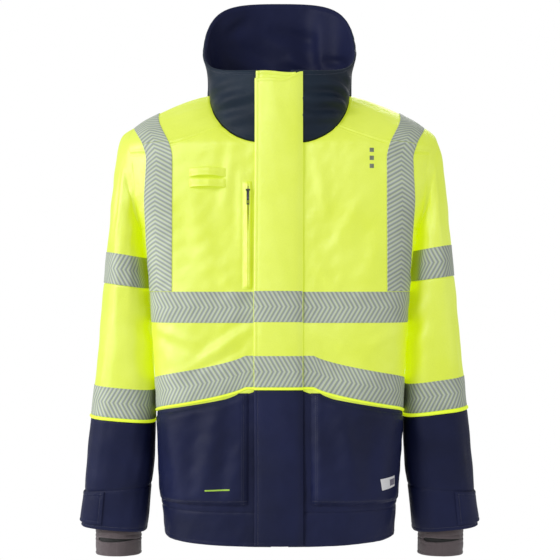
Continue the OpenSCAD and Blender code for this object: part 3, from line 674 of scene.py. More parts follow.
def cloth_offsets(low, high, distances, edges, along):
    """Inner and outer offsets of a sheet that is rounded at its free edges and pulled in at its seams."""
    middle, half = (low + high) / 2, (high - low) / 2
    rounding, pull = 1.0, 0.0
    for d, kind, run in zip(distances, edges, along):
        if kind == "f":
            rounding = np.minimum(rounding, np.sqrt(1 - (1 - clamp(d / (2 * half))) ** 2))
        if kind in "st":
            pull = pull + SEAM_DEPTH * bell(d, 2.4)
        if kind in "tf" and half * 2 > 1:
            pull = pull + 0.4 * bell(d - STITCH_INSET, 1.1) - 0.22 * bell(d - 3.2, 1.6)
            pull = pull + 0.28 * ripple(run, run * 0, 11, 17) * bell(d - 4, 6)
    half = half * np.maximum(rounding, 0.12)
    return middle - half - pull, middle + half - pull


def mean_length(surface):
    """A surface's length along s, on the mean of three lines."""
    s = np.linspace(0, 1, 33)
    lines = [surface(s, np.full_like(s, t), 0.0 * s) for t in (0.25, 0.5, 0.75)]
    return np.mean([np.linalg.norm(np.diff(line, axis=0), axis=1).sum() for line in lines])


def sheet(name, surface, step=4.0, low=-1.4, high=0.0, edges="ssss", wrap=False, turn_uv=False,
          materials=()):
    """A closed sheet of cloth on a surface. edges are those at s=0, s=1, t=0 and t=1: s is sewn,
    t is sewn and topstitched, f is free, p is plain."""
    len_s, len_t = mean_length(surface), mean_length(lambda s, t, off: surface(t, s, off))
    ts = np.linspace(0, 1, max(8, round(len_s / step)) + 1) if wrap else ticks(len_s, step)
    tt = ticks(len_t, step)
    s, t = np.meshgrid(ts, tt, indexing="ij")
    ends = [FAR + 0 * s] * 2 if wrap else [s * len_s, (1 - s) * len_s]
    distances = ends + [t * len_t, (1 - t) * len_t]
    inner_off, outer_off = cloth_offsets(low, high, distances, edges, [t * len_t] * 2 + [s * len_s] * 2)
    outer, inner = surface(s, t, outer_off), surface(s, t, inner_off)
    nu, nv = len(ts) - 1, len(tt) - 1
    (faces, ci, cj), n_outer, n_inner = grid_faces(nu, nv, wrap)
    keep = slice(0, nu) if wrap else slice(0, nu + 1)
    points = np.concatenate([outer[keep].reshape(-1, 3), inner[keep].reshape(-1, 3)])
    slots = np.zeros(len(faces), np.int32)
    slots[n_outer:n_outer + n_inner] = len(materials) - 1
    obj = add_mesh(name, points, faces, materials, slots)
    steps = (np.linalg.norm(np.diff(outer, axis=k), axis=2).mean(1 - k) for k in (0, 1))
    run, rise = (np.concatenate([[0], step.cumsum()]) * MM for step in steps)
    uv = np.stack([run[ci], rise[cj]], -1)
    if turn_uv:
        uv = uv[..., ::-1]
    layer = obj.data.uv_layers.new(name="UVMap")
    layer.data.foreach_set("uv", np.ascontiguousarray(uv, np.float32).ravel())
    obj["size_mm"] = [float(len_s), float(len_t)]
    return obj


def stitch_line(carrier, colour, surface, s, t, off, pitch=3.6, length=2.6, radius=0.3):
    """One row of topstitches on a surface, along the line through the arrays s and t."""
    path = surface(s, t, off + 0 * s)
    up = surface(s, t, off + 1 + 0 * s) - path
    up /= np.linalg.norm(up, axis=1, keepdims=True)
    run = np.concatenate([[0], np.linalg.norm(np.diff(path, axis=0), axis=1).cumsum()])
    starts = np.arange(pitch * 0.6, run[-1] - pitch, pitch)
    if len(starts) == 0:
        return

    def at(values, where):
        return np.stack([np.interp(where, run, values[:, k]) for k in range(3)], -1)
    a, b, n = at(path, starts), at(path, starts + length), at(up, starts + length / 2)
    side = np.cross(b - a, n)
    side /= np.maximum(np.linalg.norm(side, axis=1, keepdims=True), 1e-9)
    corners = [side, -n * 0.8, -side, n * 0.8]
    rings = [mix(a, b, k) + c * radius for k in (0.28, 0.72) for c in corners]
    points = [a - n * 0.25] + rings + [b - n * 0.25]
    threads.setdefault((carrier, colour), []).append(np.stack(points, 1))


def edge_stitches(carrier, colour, surface, obj, sides, off=0.1, inset=STITCH_INSET, rows=1):
    """Topstitches inside the named edges: l and r are s=0 and s=1, b and u are t=0 and t=1."""
    len_s, len_t = obj["size_mm"]
    for row in range(rows):
        d = inset + 3.0 * row
        for side in sides:
            k = np.linspace(0.002, 0.998, 160)
            fixed = {"l": d / len_s, "r": 1 - d / len_s, "b": d / len_t, "u": 1 - d / len_t}[side]
            s, t = (np.full_like(k, fixed), k) if side in "lr" else (k, np.full_like(k, fixed))
            stitch_line(carrier, colour, surface, s, t, off)


def build_threads():
    """One mesh of all the stitches of a colour on a body: each is a thin spindle of ten points."""
    for (carrier, colour), rows in threads.items():
        points = np.concatenate(rows)
        count = len(points)
        tip = [(0, 1 + (k + 1) % 4, 1 + k) for k in range(4)]
        end = [(9, 5 + k, 5 + (k + 1) % 4) for k in range(4)]
        side = [(1 + k, 1 + (k + 1) % 4, 5 + (k + 1) % 4, 5 + k) for k in range(4)]
        faces = [tuple(10 * i + c for c in face) for i in range(count) for face in tip + end + side]
        obj = add_mesh(f"stitches_{carrier}_{colour}", points.reshape(-1, 3), faces, [THREAD[colour]])
        fasten(obj, carrier, "shell_yellow" if colour == "yellow" else "shell_navy")


# ---- what each piece moves with ----

def bends():
    """Cloth that crosses a joint: its two bodies, and where the bend starts and ends, in metres."""
    found = {"flap": ("torso", "storm_flap", (0.0385, 0, 0), (0.018, 0, 0))}
    for side, name in SIDE_NAME.items():
        upper_arm, forearm = f"{name}_upper_arm", f"{name}_forearm"
        for bend, inner, outer, start, end in (
                ("shoulder", "torso", upper_arm, (0.231, 0, 0.510), (0.276, 0, 0.470)),
                ("elbow", upper_arm, forearm, (0.27, 0, 0.405), (0.27, 0, 0.255)),
                ("tab", forearm, f"{name}_cuff_tab", (0.293, -0.076, 0), (0.303, -0.068, 0))):
            places = ((side * x, y, z) for x, y, z in (start, end))
            found[f"{name}_{bend}"] = (inner, outer, *places)
    return found


BENDS = bends()


def fasten(obj, carrier, slot, *stands_for):
    """Puts a piece on its body, or, where it crosses a joint, applies its place in the world and leaves it
    without a body, and hides the CAD nodes it stands for. slot is not used."""
    if carrier in BENDS:
        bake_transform(obj)
    else:
        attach(obj, carrier)
    if stands_for:
        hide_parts(*stands_for)
    return obj


# ---- materials ----

def rgb(r, g, b):
    """Linear colour from an sRGB colour of 0 to 255."""
    def linear(c):
        c = c / 255
        return c / 12.92 if c <= 0.04045 else ((c + 0.055) / 1.055) ** 2.4
    return (linear(r), linear(g), linear(b), 1.0)


class NodeTree:
    """The nodes of a material or a world. An input of a new node may be a value or another node's output."""

    def __init__(self, owner):
        owner.use_nodes = True
        self.tree = owner.node_tree
        self.tree.nodes.clear()

    def node(self, kind, inputs=None, **settings):
        made = self.tree.nodes.new(kind)
        for key, value in settings.items():
            setattr(made, key, value)
        for key, value in (inputs or {}).items():
            if isinstance(value, bpy.types.NodeSocket):
                self.tree.links.new(value, made.inputs[key])
            else:
                made.inputs[key].default_value = value
        return made


class Shader(NodeTree):
    """A material under construction. Its methods give the output of what they add."""

    def __init__(self, name):
        self.material = bpy.data.materials.new(name)
        super().__init__(self.material)
        self.uv = self.node("ShaderNodeUVMap", uv_map="UVMap").outputs[0]
        self.place = self.node("ShaderNodeTexCoord").outputs["Object"]

    def math(self, operation, a, b=0.0, c=0.0):
        return self.node("ShaderNodeMath", {0: a, 1: b, 2: c}, operation=operation).outputs[0]

    def waves(self, along, pitch):
        """Rounded ridges, one each pitch metres."""
        return self.math("ABSOLUTE", self.math("SINE", self.math("MULTIPLY", along, math.pi / pitch)))

    def scaled(self, colour, factor):
        return self.node("ShaderNodeVectorMath", {0: colour, 3: factor}, operation="SCALE").outputs[0]

    def noise(self, scale, detail=2.0, rough=0.5):
        inputs = {"Vector": self.place, "Scale": scale, "Detail": detail, "Roughness": rough}
        return self.node("ShaderNodeTexNoise", inputs).outputs["Fac"]

    def ramp(self, value, low, high, a=0.0, b=1.0):
        inputs = {"Value": value, "From Min": low, "From Max": high, "To Min": a, "To Max": b}
        return self.node("ShaderNodeMapRange", inputs).outputs[0]

    def blend(self, share, a, b):
        return self.node("ShaderNodeMix", {0: share, 6: a, 7: b}, data_type="RGBA").outputs[2]

    def split(self, vector):
        made = self.node("ShaderNodeSeparateXYZ", {0: vector})
        return made.outputs[0], made.outputs[1]

    def weave(self, pitch):
        """Height of a plain weave of threads `pitch` metres wide, from 0 to 1."""
        u, v = self.split(self.uv)
        over_u, over_v = self.waves(u, pitch), self.waves(v, pitch)
        check = self.node("ShaderNodeTexChecker", {"Vector": self.uv, "Scale": 1 / pitch}).outputs["Fac"]
        return self.math("ADD", self.math("MULTIPLY", over_u, check),
                         self.math("MULTIPLY", over_v, self.math("SUBTRACT", 1.0, check)))

    def bump(self, height, distance, strength=1.0, normal=None):
        inputs = {"Height": height, "Distance": distance, "Strength": strength}
        if normal is not None:
            inputs["Normal"] = normal
        return self.node("ShaderNodeBump", inputs).outputs[0]

    def finish(self, **inputs):
        surface = self.node("ShaderNodeBsdfPrincipled", {k.replace("_", " "): v for k, v in inputs.items()})
        self.node("ShaderNodeOutputMaterial", {0: surface.outputs[0]})
        return self.material


PAINTED_GLOW = (0.79, 1.0, 0.0, 1.0)  # painted glow: light given off by the yellow cloth itself, standing in for fluorescence, keeps it bright and pure in its shadows


def shell_cloth(name, base, light, sheen, specular, painted_glow=0.0, rough=0.62, pitch=0.0006):
    """Coated outdoor cloth: a fine weave, a soft cloudy face, small creases, and a painted glow, light of
    its own that brightens its shadows.
    """
    k = Shader(name)
    cloud = k.ramp(k.noise(9.0, 3.0), 0.35, 0.68)
    colour = k.blend(k.math("MULTIPLY", cloud, 0.55), base, light)
    slub = k.ramp(k.noise(900.0, 1.0), 0.3, 0.7, 0.94, 1.05)
    colour = k.scaled(colour, slub)
    creases = k.bump(k.noise(60.0, 4.0, 0.6), 0.0013, 0.36)
    woven = k.bump(k.weave(pitch), 0.00012, 0.55, creases)
    roughness = k.ramp(k.noise(28.0, 2.0), 0.3, 0.7, rough - 0.06, rough + 0.07)
    return k.finish(Base_Color=colour, Roughness=roughness, Normal=woven, Specular_IOR_Level=specular,
                    Sheen_Weight=sheen, Sheen_Roughness=0.35, Sheen_Tint=light,
                    Emission_Color=PAINTED_GLOW, Emission_Strength=painted_glow)


def lining_cloth():
    k = Shader("navy_taffeta")
    folds = k.bump(k.noise(38.0, 4.0, 0.55), 0.002, 0.4)
    woven = k.bump(k.weave(0.0004), 0.0001, 0.4, folds)
    colour = k.blend(k.noise(12.0, 3.0), rgb(19, 23, 50), rgb(28, 33, 68))
    return k.finish(Base_Color=colour, Roughness=0.5, Normal=woven, Sheen_Weight=0.02,
                    Specular_IOR_Level=0.1)


def reflective_tape(name, direction):
    """Silver chevrons along the tape, cut by thin gaps that let the cloth show. direction is the way they
    point."""
    period, half_width, advance = 0.0073, TAPE_W * MM / 2, 0.0144
    k = Shader(name)
    u, v = k.split(k.uv)
    from_middle = k.math("ABSOLUTE", k.math("SUBTRACT", v, half_width))
    slanted = k.math("MULTIPLY_ADD", from_middle, direction * advance / half_width, u)
    phase = k.math("FRACT", k.math("DIVIDE", slanted, period))
    ramp = k.node("ShaderNodeValToRGB", {"Fac": phase})
    bands = ramp.color_ramp.elements
    grey, silver, gap_cloth = rgb(143, 151, 147), rgb(184, 192, 180), rgb(190, 204, 140)
    colours = [(0.0, grey), (0.38, grey), (0.50, silver), (0.80, silver),
               (0.86, gap_cloth), (0.92, gap_cloth), (0.98, grey)]
    while len(bands) < len(colours):
        bands.new(1.0)
    for element, (at, colour) in zip(bands, colours):
        element.position, element.color = at, colour
    shine = k.ramp(k.noise(26.0, 3.0), 0.3, 0.7, 0.93, 1.05)
    colour = k.scaled(ramp.outputs[0], shine)
    gap = k.math("GREATER_THAN", phase, 0.77)
    raised = k.math("SUBTRACT", 1.0, gap)
    edge = k.bump(raised, 0.0002, 0.5)
    beads = k.bump(k.noise(2600.0, 1.0), 0.00004, 0.5, edge)
    return k.finish(Base_Color=colour, Roughness=k.math("MULTIPLY_ADD", gap, 0.2, 0.5), Normal=beads,
                    Specular_IOR_Level=0.3)


def rib_knit():
    k = Shader("grey_rib_knit")
    u, v = k.split(k.uv)
    ribs, courses = k.waves(u, 0.0019), k.waves(v, 0.0011)
    height = k.math("MULTIPLY_ADD", courses, 0.35, ribs)
    fuzz = k.noise(1500.0, 3.0)
    # Lighter on the ribs and darker between them, which is painted shade in the knit's hollows, varied by
    # random fuzz.
    colour = k.blend(k.math("MULTIPLY", ribs, fuzz), rgb(70, 61, 64), rgb(110, 98, 101))
    normal = k.bump(fuzz, 0.0003, 0.3, k.bump(height, 0.0004, 0.6))
    return k.finish(Base_Color=colour, Roughness=0.9, Normal=normal, Sheen_Weight=0.3)


def narrow_weave(name, base, light, pitch=0.0011):
    """Webbing, labels and zip tapes: a coarse diagonal weave."""
    k = Shader(name)
    u, v = k.split(k.uv)
    diagonal = k.math("SINE", k.math("MULTIPLY", k.math("ADD", u, v), math.pi / pitch))
    height = k.math("MULTIPLY_ADD", diagonal, 0.5, k.weave(pitch))
    # Lighter on the raised threads and darker in the hollows of the weave, which is painted shade.
    colour = k.blend(k.ramp(height, 0.0, 1.5), base, light)
    return k.finish(Base_Color=colour, Roughness=0.75, Normal=k.bump(height, 0.0002, 0.6), Sheen_Weight=0.2)


def hook_and_loop():
    """A dense pile of small loops."""
    k = Shader("hook_and_loop")
    pile = k.node("ShaderNodeTexVoronoi", {"Vector": k.place, "Scale": 900.0}).outputs["Distance"]
    # Darker in the hollows of the pile and lighter on its loops, which is painted shade.
    colour = k.blend(pile, rgb(20, 22, 34), rgb(44, 48, 70))
    return k.finish(Base_Color=colour, Roughness=0.95, Normal=k.bump(pile, 0.0008, 0.8), Sheen_Weight=0.4)


def moulded_plastic(name, base, light, metallic=0.0):
    k = Shader(name)
    wear = k.ramp(k.noise(160.0, 4.0), 0.45, 0.75)
    colour = k.blend(k.math("MULTIPLY", wear, 0.5), base, light)
    scratches = k.bump(k.noise(700.0, 2.0), 0.00006, 0.5)
    return k.finish(Base_Color=colour, Roughness=k.ramp(wear, 0.0, 1.0, 0.34, 0.5), Normal=scratches,
                    Metallic=metallic)


def thread_material(name, colour, light):
    k = Shader(name)
    twist = k.node("ShaderNodeTexWave", {"Vector": k.place, "Scale": 900.0}).outputs["Fac"]
    # Lighter on the ridges of the twist and darker in its grooves, which is painted shade.
    return k.finish(Base_Color=k.blend(twist, colour, light), Roughness=0.6,
                    Normal=k.bump(twist, 0.0001, 0.5), Sheen_Weight=0.3)


# The yellow cloth and the piping carry a painted glow, emitted light that lifts their shade.
YELLOW = shell_cloth("fluorescent_yellow_cloth_painted_glow", rgb(164, 171, 52), rgb(180, 185, 100), 0.1, 1.2, 0.43,
                     rough=0.42)
NAVY = shell_cloth("navy_cloth", rgb(19, 24, 52), rgb(30, 36, 75), 0.02, 0.17, rough=0.46)
COLLAR_NAVY = shell_cloth("collar_navy_cloth", rgb(20, 31, 45), rgb(33, 48, 64), 0.02, 0.17, rough=0.44)
LINING = lining_cloth()
TAPE = reflective_tape("reflective_tape", 1)
TAPE_REVERSED = reflective_tape("reflective_tape_reversed", -1)
PIPING = shell_cloth("bright_yellow_piping_painted_glow", rgb(190, 205, 50), rgb(205, 215, 100), 0.15, 0.5, 0.45,
                     rough=0.5, pitch=0.0009)
KNIT = rib_knit()
WEBBING = narrow_weave("navy_webbing", rgb(20, 23, 40), rgb(44, 49, 76))
LABEL = narrow_weave("white_woven_label", rgb(205, 205, 208), rgb(238, 238, 240), 0.0007)
LABEL_PRINT = narrow_weave("label_grey_block", rgb(88, 84, 104), rgb(120, 116, 134), 0.0007)
HOOKS = hook_and_loop()
PLASTIC = moulded_plastic("dark_moulded_plastic", rgb(38, 40, 46), rgb(78, 80, 86))
METAL = moulded_plastic("dark_coated_metal", rgb(70, 72, 76), rgb(130, 132, 136), 0.7)
PRINT_GREY = moulded_plastic("grey_transfer", rgb(110, 118, 100), rgb(150, 156, 138))
PRINT_GREEN = moulded_plastic("green_transfer", rgb(150, 190, 60), rgb(180, 214, 90))
# Near-black painted shadow: the sheet behind the thumb slot stands for the shade inside the cuff.
SHADOW = narrow_weave("slot_painted_shadow", rgb(10, 10, 11), rgb(16, 16, 17))
THREAD = {"yellow": thread_material("yellow_thread", rgb(205, 226, 40), rgb(238, 248, 110)),
          "navy": thread_material("navy_thread", rgb(24, 27, 46), rgb(58, 64, 96)),
          "grey": thread_material("grey_thread", rgb(120, 126, 120), rgb(175, 182, 170))}


# ---- pieces ----

# A finish is the record's material slot, then the outer and the inner material.
YELLOW_CLOTH, LINED_YELLOW = ("shell_yellow", YELLOW), ("shell_yellow", YELLOW, LINING)
NAVY_CLOTH, LINED_NAVY = ("shell_navy", NAVY), ("shell_navy", NAVY, LINING)
LINED_COLLAR, INNER_CLOTH = ("shell_navy", COLLAR_NAVY, LINING), ("lining", LINING)
CORD, STRAP, PILE = ("piping", PIPING), ("webbing", WEBBING), ("hook_and_loop", HOOKS)
THREAD_OF = {"shell_yellow": "yellow", "shell_navy": "navy", "reflective_tape": "grey"}


def piece(name, surface, finish, *stands_for, carrier="torso", stitches=(), **how):
    """A sheet of cloth on its body. Each entry of stitches gives edges, and may give off, inset and rows."""
    obj = sheet(name, surface, materials=finish[1:], **how)
    fasten(obj, carrier, finish[0], *stands_for)
    for row in stitches:
        edge_stitches(carrier, THREAD_OF[finish[0]], surface, obj, *row)


def once(first, node):
    """A CAD node that holds several pieces is replaced along with the first of them."""
    return [node] if first else []


def both_sides(build):
    for side, name in SIDE_NAME.items():
        build(side, name)


# ---- the body ----

FRONT_X = 14.0      # where the fronts start, beside the zip
BACK_YOKE_Z = 645
NECK_TOP = NECK_Z + 0.2
LINING_PLACE = {"step": 12, "low": -9, "high": -8}
LINING_LOW_Z, LINING_FRONT_Z, LINING_BACK_Z = 25, 640, 700
LINING_START_X = 44.0  # clear of the zip and the inner flap


def front_panel(side, name):
    surface = patch(waist_line(0), following(panel_top, at_x(FRONT_X)), at_x(FRONT_X), side_seam, side,
                    armhole=FRONT)
    piece(f"{name}_front_panel_cloth", surface, LINED_YELLOW, f"{name}_front_panel", edges="ssst")


def lower_front(side, name):
    surface = patch(level(HEM_BAND_H), waist_line(0), at_x(FRONT_X), side_seam, side)
    piece(f"{name}_lower_front_cloth", surface, NAVY_CLOTH, f"{name}_lower_front")


def yoke(side, name):
    def neckline(z):
        return angle_at_x(neck_x(z), z)
    front = patch(following(yoke_height, neckline), level(NECK_TOP), neckline, side_seam, side,
                  dome=True, armhole=FRONT)
    back = patch(level(BACK_YOKE_Z), level(NECK_TOP), side_seam, centre_back, side, dome=True, armhole=BACK)
    for label, surface in (("front", front), ("back", back)):
        piece(f"{name}_yoke_{label}_cloth", surface, LINED_YELLOW, *once(label == "front", f"{name}_yoke"),
              edges="ssts", stitches=[("b", -0.25)])


def back_panels():
    upper = patch(level(WAIST_SIDE_Z), level(BACK_YOKE_Z), side_seam, far_side, armhole=BACK)
    lower = patch(level(HEM_BAND_H), level(WAIST_SIDE_Z), side_seam, far_side)
    piece("back_panel_cloth", upper, LINED_YELLOW, "back_panel", step=5)
    piece("back_lower_cloth", lower, NAVY_CLOTH, "back_lower_panel", step=5)


def hem_band():
    def low_edge(s):
        """It is a little shorter at the side seams."""
        return 5 * np.sin(2 * math.pi * s) ** 2 + 8 * (bell(s - 0.25, 0.035) + bell(s - 0.75, 0.035))
    surface = patch(low_edge, level(HEM_BAND_H), at_x(FRONT_X), lambda z: 2 * math.pi - at_x(FRONT_X)(z))
    piece("hem_band_cloth", surface, NAVY_CLOTH, "hem_band", low=-2.2, high=-0.5, edges="fffs",
          stitches=[("b", -0.8, 22), ("u", -0.9)])


def front_lining(side, name):
    surface = patch(level(LINING_LOW_Z), level(LINING_FRONT_Z), at_x(LINING_START_X), side_seam, side,
                    armhole=FRONT)
    piece(f"{name}_front_lining", surface, INNER_CLOTH, **LINING_PLACE)


def back_lining():
    surface = patch(level(LINING_LOW_Z), level(LINING_BACK_Z), side_seam, far_side, armhole=BACK)
    piece("back_lining", surface, INNER_CLOTH, "body_lining", **LINING_PLACE)


def collar():
    piece("collar_cloth", collar_wall, LINED_COLLAR, "collar_outer", "collar_lining", step=3.5, low=-6.5,
          edges="ffff", stitches=[("u", 0.0, 8)])


# ---- tapes and piping ----

TAPE_START_X = 38.0                 # the front tapes start under the flap
BRACE_JOINS = [0, 0.338, 0.662, 1]  # by the share of a brace's length
TAPE_STITCH_INSET = 1.8


def tape_sheet(name, surface, *stands_for, direction=1, edges="ppff", low=0.1, high=0.6, **how):
    """A length of reflective tape, stitched along its two long edges."""
    long_edges = "lr" if how.get("turn_uv") else "bu"
    piece(name, surface, ("reflective_tape", TAPE if direction > 0 else TAPE_REVERSED), *stands_for,
          edges=edges, low=low, high=high, stitches=[(long_edges, high + 0.1, TAPE_STITCH_INSET)], **how)


def chest_tape(side, name):
    surface = patch(level(CHEST_TAPE_Z), level(CHEST_TAPE_TOP), at_x(TAPE_START_X), side_seam, side)
    tape_sheet(f"{name}_chest_tape", surface, *once(side == LEFT, "chest_tape_front"))


def waist_tape(side, name):
    surface = patch(waist_line(PIPING_H), waist_line(PIPING_H + TAPE_W), at_x(TAPE_START_X), side_seam, side)
    tape_sheet(f"{name}_waist_tape", surface, *once(side == LEFT, "waist_tape_front"))
    cord = patch(waist_line(0.1), waist_line(PIPING_H - 0.6), at_x(FLAP_SEWN - 1.0), side_seam, side)
    piece(f"{name}_waist_piping", cord, CORD, *once(side == LEFT, "body_piping"), low=0.0, high=1.7,
          edges="ppff")


def back_tapes():
    for label, low in (("chest", CHEST_TAPE_Z), ("waist", WAIST_SIDE_Z + PIPING_H)):
        surface = patch(level(low), level(low + TAPE_W), side_seam, far_side)
        tape_sheet(f"back_{label}_tape", surface, f"{label}_tape_back")
    cord = patch(level(WAIST_SIDE_Z - 0.5), level(WAIST_SIDE_Z + PIPING_H - 0.3), side_seam, far_side)
    piece("back_waist_piping", cord, CORD, low=0.0, high=2.2, edges="ppff")


def brace_tapes(side, name):
    """Each brace is sewn in three lengths, joined at the front and the back yoke seam."""
    whole, half_gap = brace(side), 0.0003
    for k, label in enumerate(("front", "top", "back")):
        def length(s, t, off, start=BRACE_JOINS[k] + half_gap, end=BRACE_JOINS[k + 1] - half_gap):
            return whole(s, mix(start, end, t), off)
        tape_sheet(f"{name}_brace_tape_{label}", length, *once(k == 0, f"{name}_brace_tape"),
                   edges="ffff", low=0.7, high=1.2, turn_uv=True)


# ---- pockets, loops and small things on the body ----

POCKET_X, POCKET_Z = 50, 65                    # the inner edge and the bottom of a cargo pocket
POCKET_SIZE = (230, 155)                       # its width along the cloth, and its middle height
LABEL_PLACE, MARK_PLACE = (130, 36), (50, 24)  # from a pocket's lower inner corner
LABEL_TILT = math.radians(11)
CHEST_MARK_X, CHEST_MARK_Z = (146, 153), (612, 625, 638)
RADIO_LOOPS = [(577, 1.0), (594, 2.2)]         # the lower edge of each, and how far it bows up
LOOP_X, LOOP_H, LOOP_HUMP = (-146, -88), 14, 8.5
CHEST_ZIP_X, CHEST_ZIP_PARTED_Z = -50.7, 505   # the zip's line, and where its lips start to part
ZIP_LIPS = {"inner": (-45.2, 1), "outer": (-60.0, -1)}  # the far edge of each, and the way it parts
BAG_X, BAG_Z = (-165, -54), (420, 580)


def pocket_cloth(side):
    """The outer face of a cargo pocket: it stands proud of the body, less towards the side, and is pulled in
    at its edges."""
    base = patch(level(POCKET_Z), waist_line(-6), at_x(POCKET_X), lambda z: side_seam(z) - 0.12, side)

    def surface(s, t, off):
        k = outward(s, side)
        from_side, from_end = (np.minimum(a, 1 - a) * size for a, size in zip((s, t), POCKET_SIZE))
        proud = mix(9.5, 0.4, ease((k - 0.45) / 0.4)) * mix(1.0, 0.55, t)
        pulled_in = (1 - bell(from_side, 8)) ** 0.8 * (1 - bell(from_end, 6)) ** 0.8
        return base(s, t, off + 1.0 + proud * pulled_in)
    return surface


def cargo_pocket(side, name):
    inner_edge = "l" if side == LEFT else "r"
    piece(f"{name}_pocket_cloth", pocket_cloth(side), NAVY_CLOTH, f"{name}_cargo_pocket", step=3.5, low=-0.8,
          high=0.8, edges="tttt", stitches=[(inner_edge, 0.6, 8, 2), ("b", 0.6, 7)])


def on_pocket(side, place, size, turn=0.0):
    """A small upright or turned rectangle on a pocket, in millimetres from its lower inner corner."""
    cloth, c, d = pocket_cloth(side), math.cos(turn), math.sin(turn)

    def surface(s, t, off):
        a, b = (s - 0.5) * size[0], (t - 0.5) * size[1]
        across, up = place[0] + side * (a * c - b * d), place[1] + a * d + b * c
        return cloth(outward(across / POCKET_SIZE[0], side), up / POCKET_SIZE[1], off)
    return surface


def label_and_prints():
    """A blank woven label, and two plain marks where the object carries printed ones."""
    x, z = LABEL_PLACE
    piece("side_label_cloth", on_pocket(LEFT, LABEL_PLACE, (31, 19), LABEL_TILT), ("label", LABEL),
          "side_label", step=2.5, low=0.9, high=1.6, edges="ffff")
    piece("side_label_block", on_pocket(LEFT, (x + 7, z + 1.4), (13, 11), LABEL_TILT),
          ("label", LABEL_PRINT), step=2.5, low=1.6, high=1.75, edges="pppp")
    piece("pocket_mark", on_pocket(RIGHT, MARK_PLACE, (40, 2.2)), ("label", PRINT_GREEN), step=1.5, low=0.85,
          high=1.0, edges="ffff")
    left, right = CHEST_MARK_X
    for k, z in enumerate(CHEST_MARK_Z):
        half = (right - left) / 2
        square = patch(level(z - half), level(z + half), at_x(left), at_x(right))
        piece(f"chest_mark_{k}", square, ("label", PRINT_GREY), step=1.5, low=0.05, high=0.2, edges="ffff")


def mic_loops():
    for k, (z, bow) in enumerate(RADIO_LOOPS):
        def edge(rise, z=z, bow=bow):
            return lambda s: z + rise + bow * np.sin(math.pi * s)
        base = patch(edge(0), edge(LOOP_H), at_x(LOOP_X[0]), at_x(LOOP_X[1]))

        def bowed(s, t, off, base=base):
            return base(s, t, off + 0.6 + LOOP_HUMP * np.sin(math.pi * s) ** 0.8 * (1 - 0.6 * t))
        piece(f"radio_loop_{k}", bowed, YELLOW_CLOTH, *once(k == 0, "mic_loops"), step=2.5, low=0.0,
              high=1.3, edges="ssff")
        line = np.linspace(0.08, 0.92, 30)
        for share in (0.04, 0.96):
            stitch_line("torso", "yellow", bowed, np.full_like(line, share), line, 1.5)


def zip_lip(edge_x, share):
    """A welt from edge_x to the chest zip's line, which it leaves at the top by its share of the gap."""
    low, high = box_mm("chest_pocket_zip")
    bottom, top = low[2] - 4, high[2] + 4

    def surface(s, t, off):
        z = mix(bottom, top, t)
        gap = 1.3 * np.sin(math.pi * clamp((z - CHEST_ZIP_PARTED_Z) / (top - CHEST_ZIP_PARTED_Z))) ** 0.7
        near, far = CHEST_ZIP_X + share * gap, edge_x + 0 * z
        x = mix(np.minimum(near, far), np.maximum(near, far), s)
        ridge = bell(x - CHEST_ZIP_X, 5.0) * ease(np.minimum(t, 1 - t) / 0.035)
        return on_body(-angle_at_x(-x, z), z, off * mix(0.15, 1.0, ridge) + 4.4 * ridge)
    return surface


def chest_pocket():
    """Two welts that close over the chest pocket's zip, parted at its top, and the pocket's bag."""
    for label, (edge_x, share) in ZIP_LIPS.items():
        piece(f"chest_zip_welt_{label}", zip_lip(edge_x, share), YELLOW_CLOTH, step=2.5, low=0.3, high=3.4,
              edges="ffff")
    bag = patch(level(BAG_Z[0]), level(BAG_Z[1]), at_x(BAG_X[0]), at_x(BAG_X[1]))
    piece("chest_pocket_lining", bag, INNER_CLOTH, "chest_pocket_bag", step=10, low=-5.5, high=-3.5)


def hang_loop():
    low, high = box_mm("hang_loop")
    width, r, leg = high[2] - low[2], (high[0] - low[0]) / 2 - 1.0, 20

    def strap(s, t, off):
        turn = math.pi * clamp((s - 0.25) / 0.5)
        straight = np.maximum(1 - s / 0.25, clamp((s - 0.75) / 0.25)) * leg
        y = low[1] + r + straight - (r + off) * np.sin(turn)
        return np.stack([-(r + off) * np.cos(turn), y, high[2] - width * (1 - t)], -1)
    piece("hang_loop_strap", strap, STRAP, "hang_loop", step=1.5, low=0.0, high=1.4, edges="ppff")


# ---- the front closing ----

FLAP_TOP_LEFT, FLAP_TOP_RIGHT = 755.0, 766.0  # as seen from the front
PATCH_HEIGHTS, PATCH_H = (90, 190, 320, 440, 560), 40
INNER_FLAP_X, INNER_FLAP_LOW_Z, INNER_FLAP_TOP_Z = (-38.5, 27), 14.0, 767.0
INNER_FLAP_LIFT = 10.5  # it comes forward near its top


def storm_flap():
    def top(s):
        return mix(FLAP_TOP_LEFT, FLAP_TOP_RIGHT, ease((s - 0.55) / 0.45)) + 1.2 * np.sin(s * 7)
    whole = {"carrier": "flap", "low": -1.1, "high": 1.1}
    piece("storm_flap_cloth", flap_surface(WAIST_FRONT_Z, top), YELLOW_CLOTH, "storm_flap", edges="fssf",
          stitches=[("lu", 0.95)], **whole)
    piece("storm_flap_lower_cloth", flap_surface(2.0, WAIST_FRONT_Z), NAVY_CLOTH, "storm_flap_lower",
          edges="fsfs", stitches=[("l", 0.95)], **whole)
    for k, z in enumerate((CHEST_TAPE_Z + 1.5, WAIST_FRONT_Z + PIPING_H)):
        strip = flap_surface(z, z + TAPE_W, FLAP_FREE + 0.8, FLAP_SEWN - 0.8)
        tape_sheet(f"flap_tape_{k}", strip, *once(k == 0, "flap_tapes"), carrier="flap", low=1.1, high=1.6)
    cord = flap_surface(WAIST_FRONT_Z - 0.5, WAIST_FRONT_Z + PIPING_H - 0.3)
    piece("flap_piping_cord", cord, CORD, "flap_piping", carrier="flap", low=1.0, high=3.0, edges="ppff")


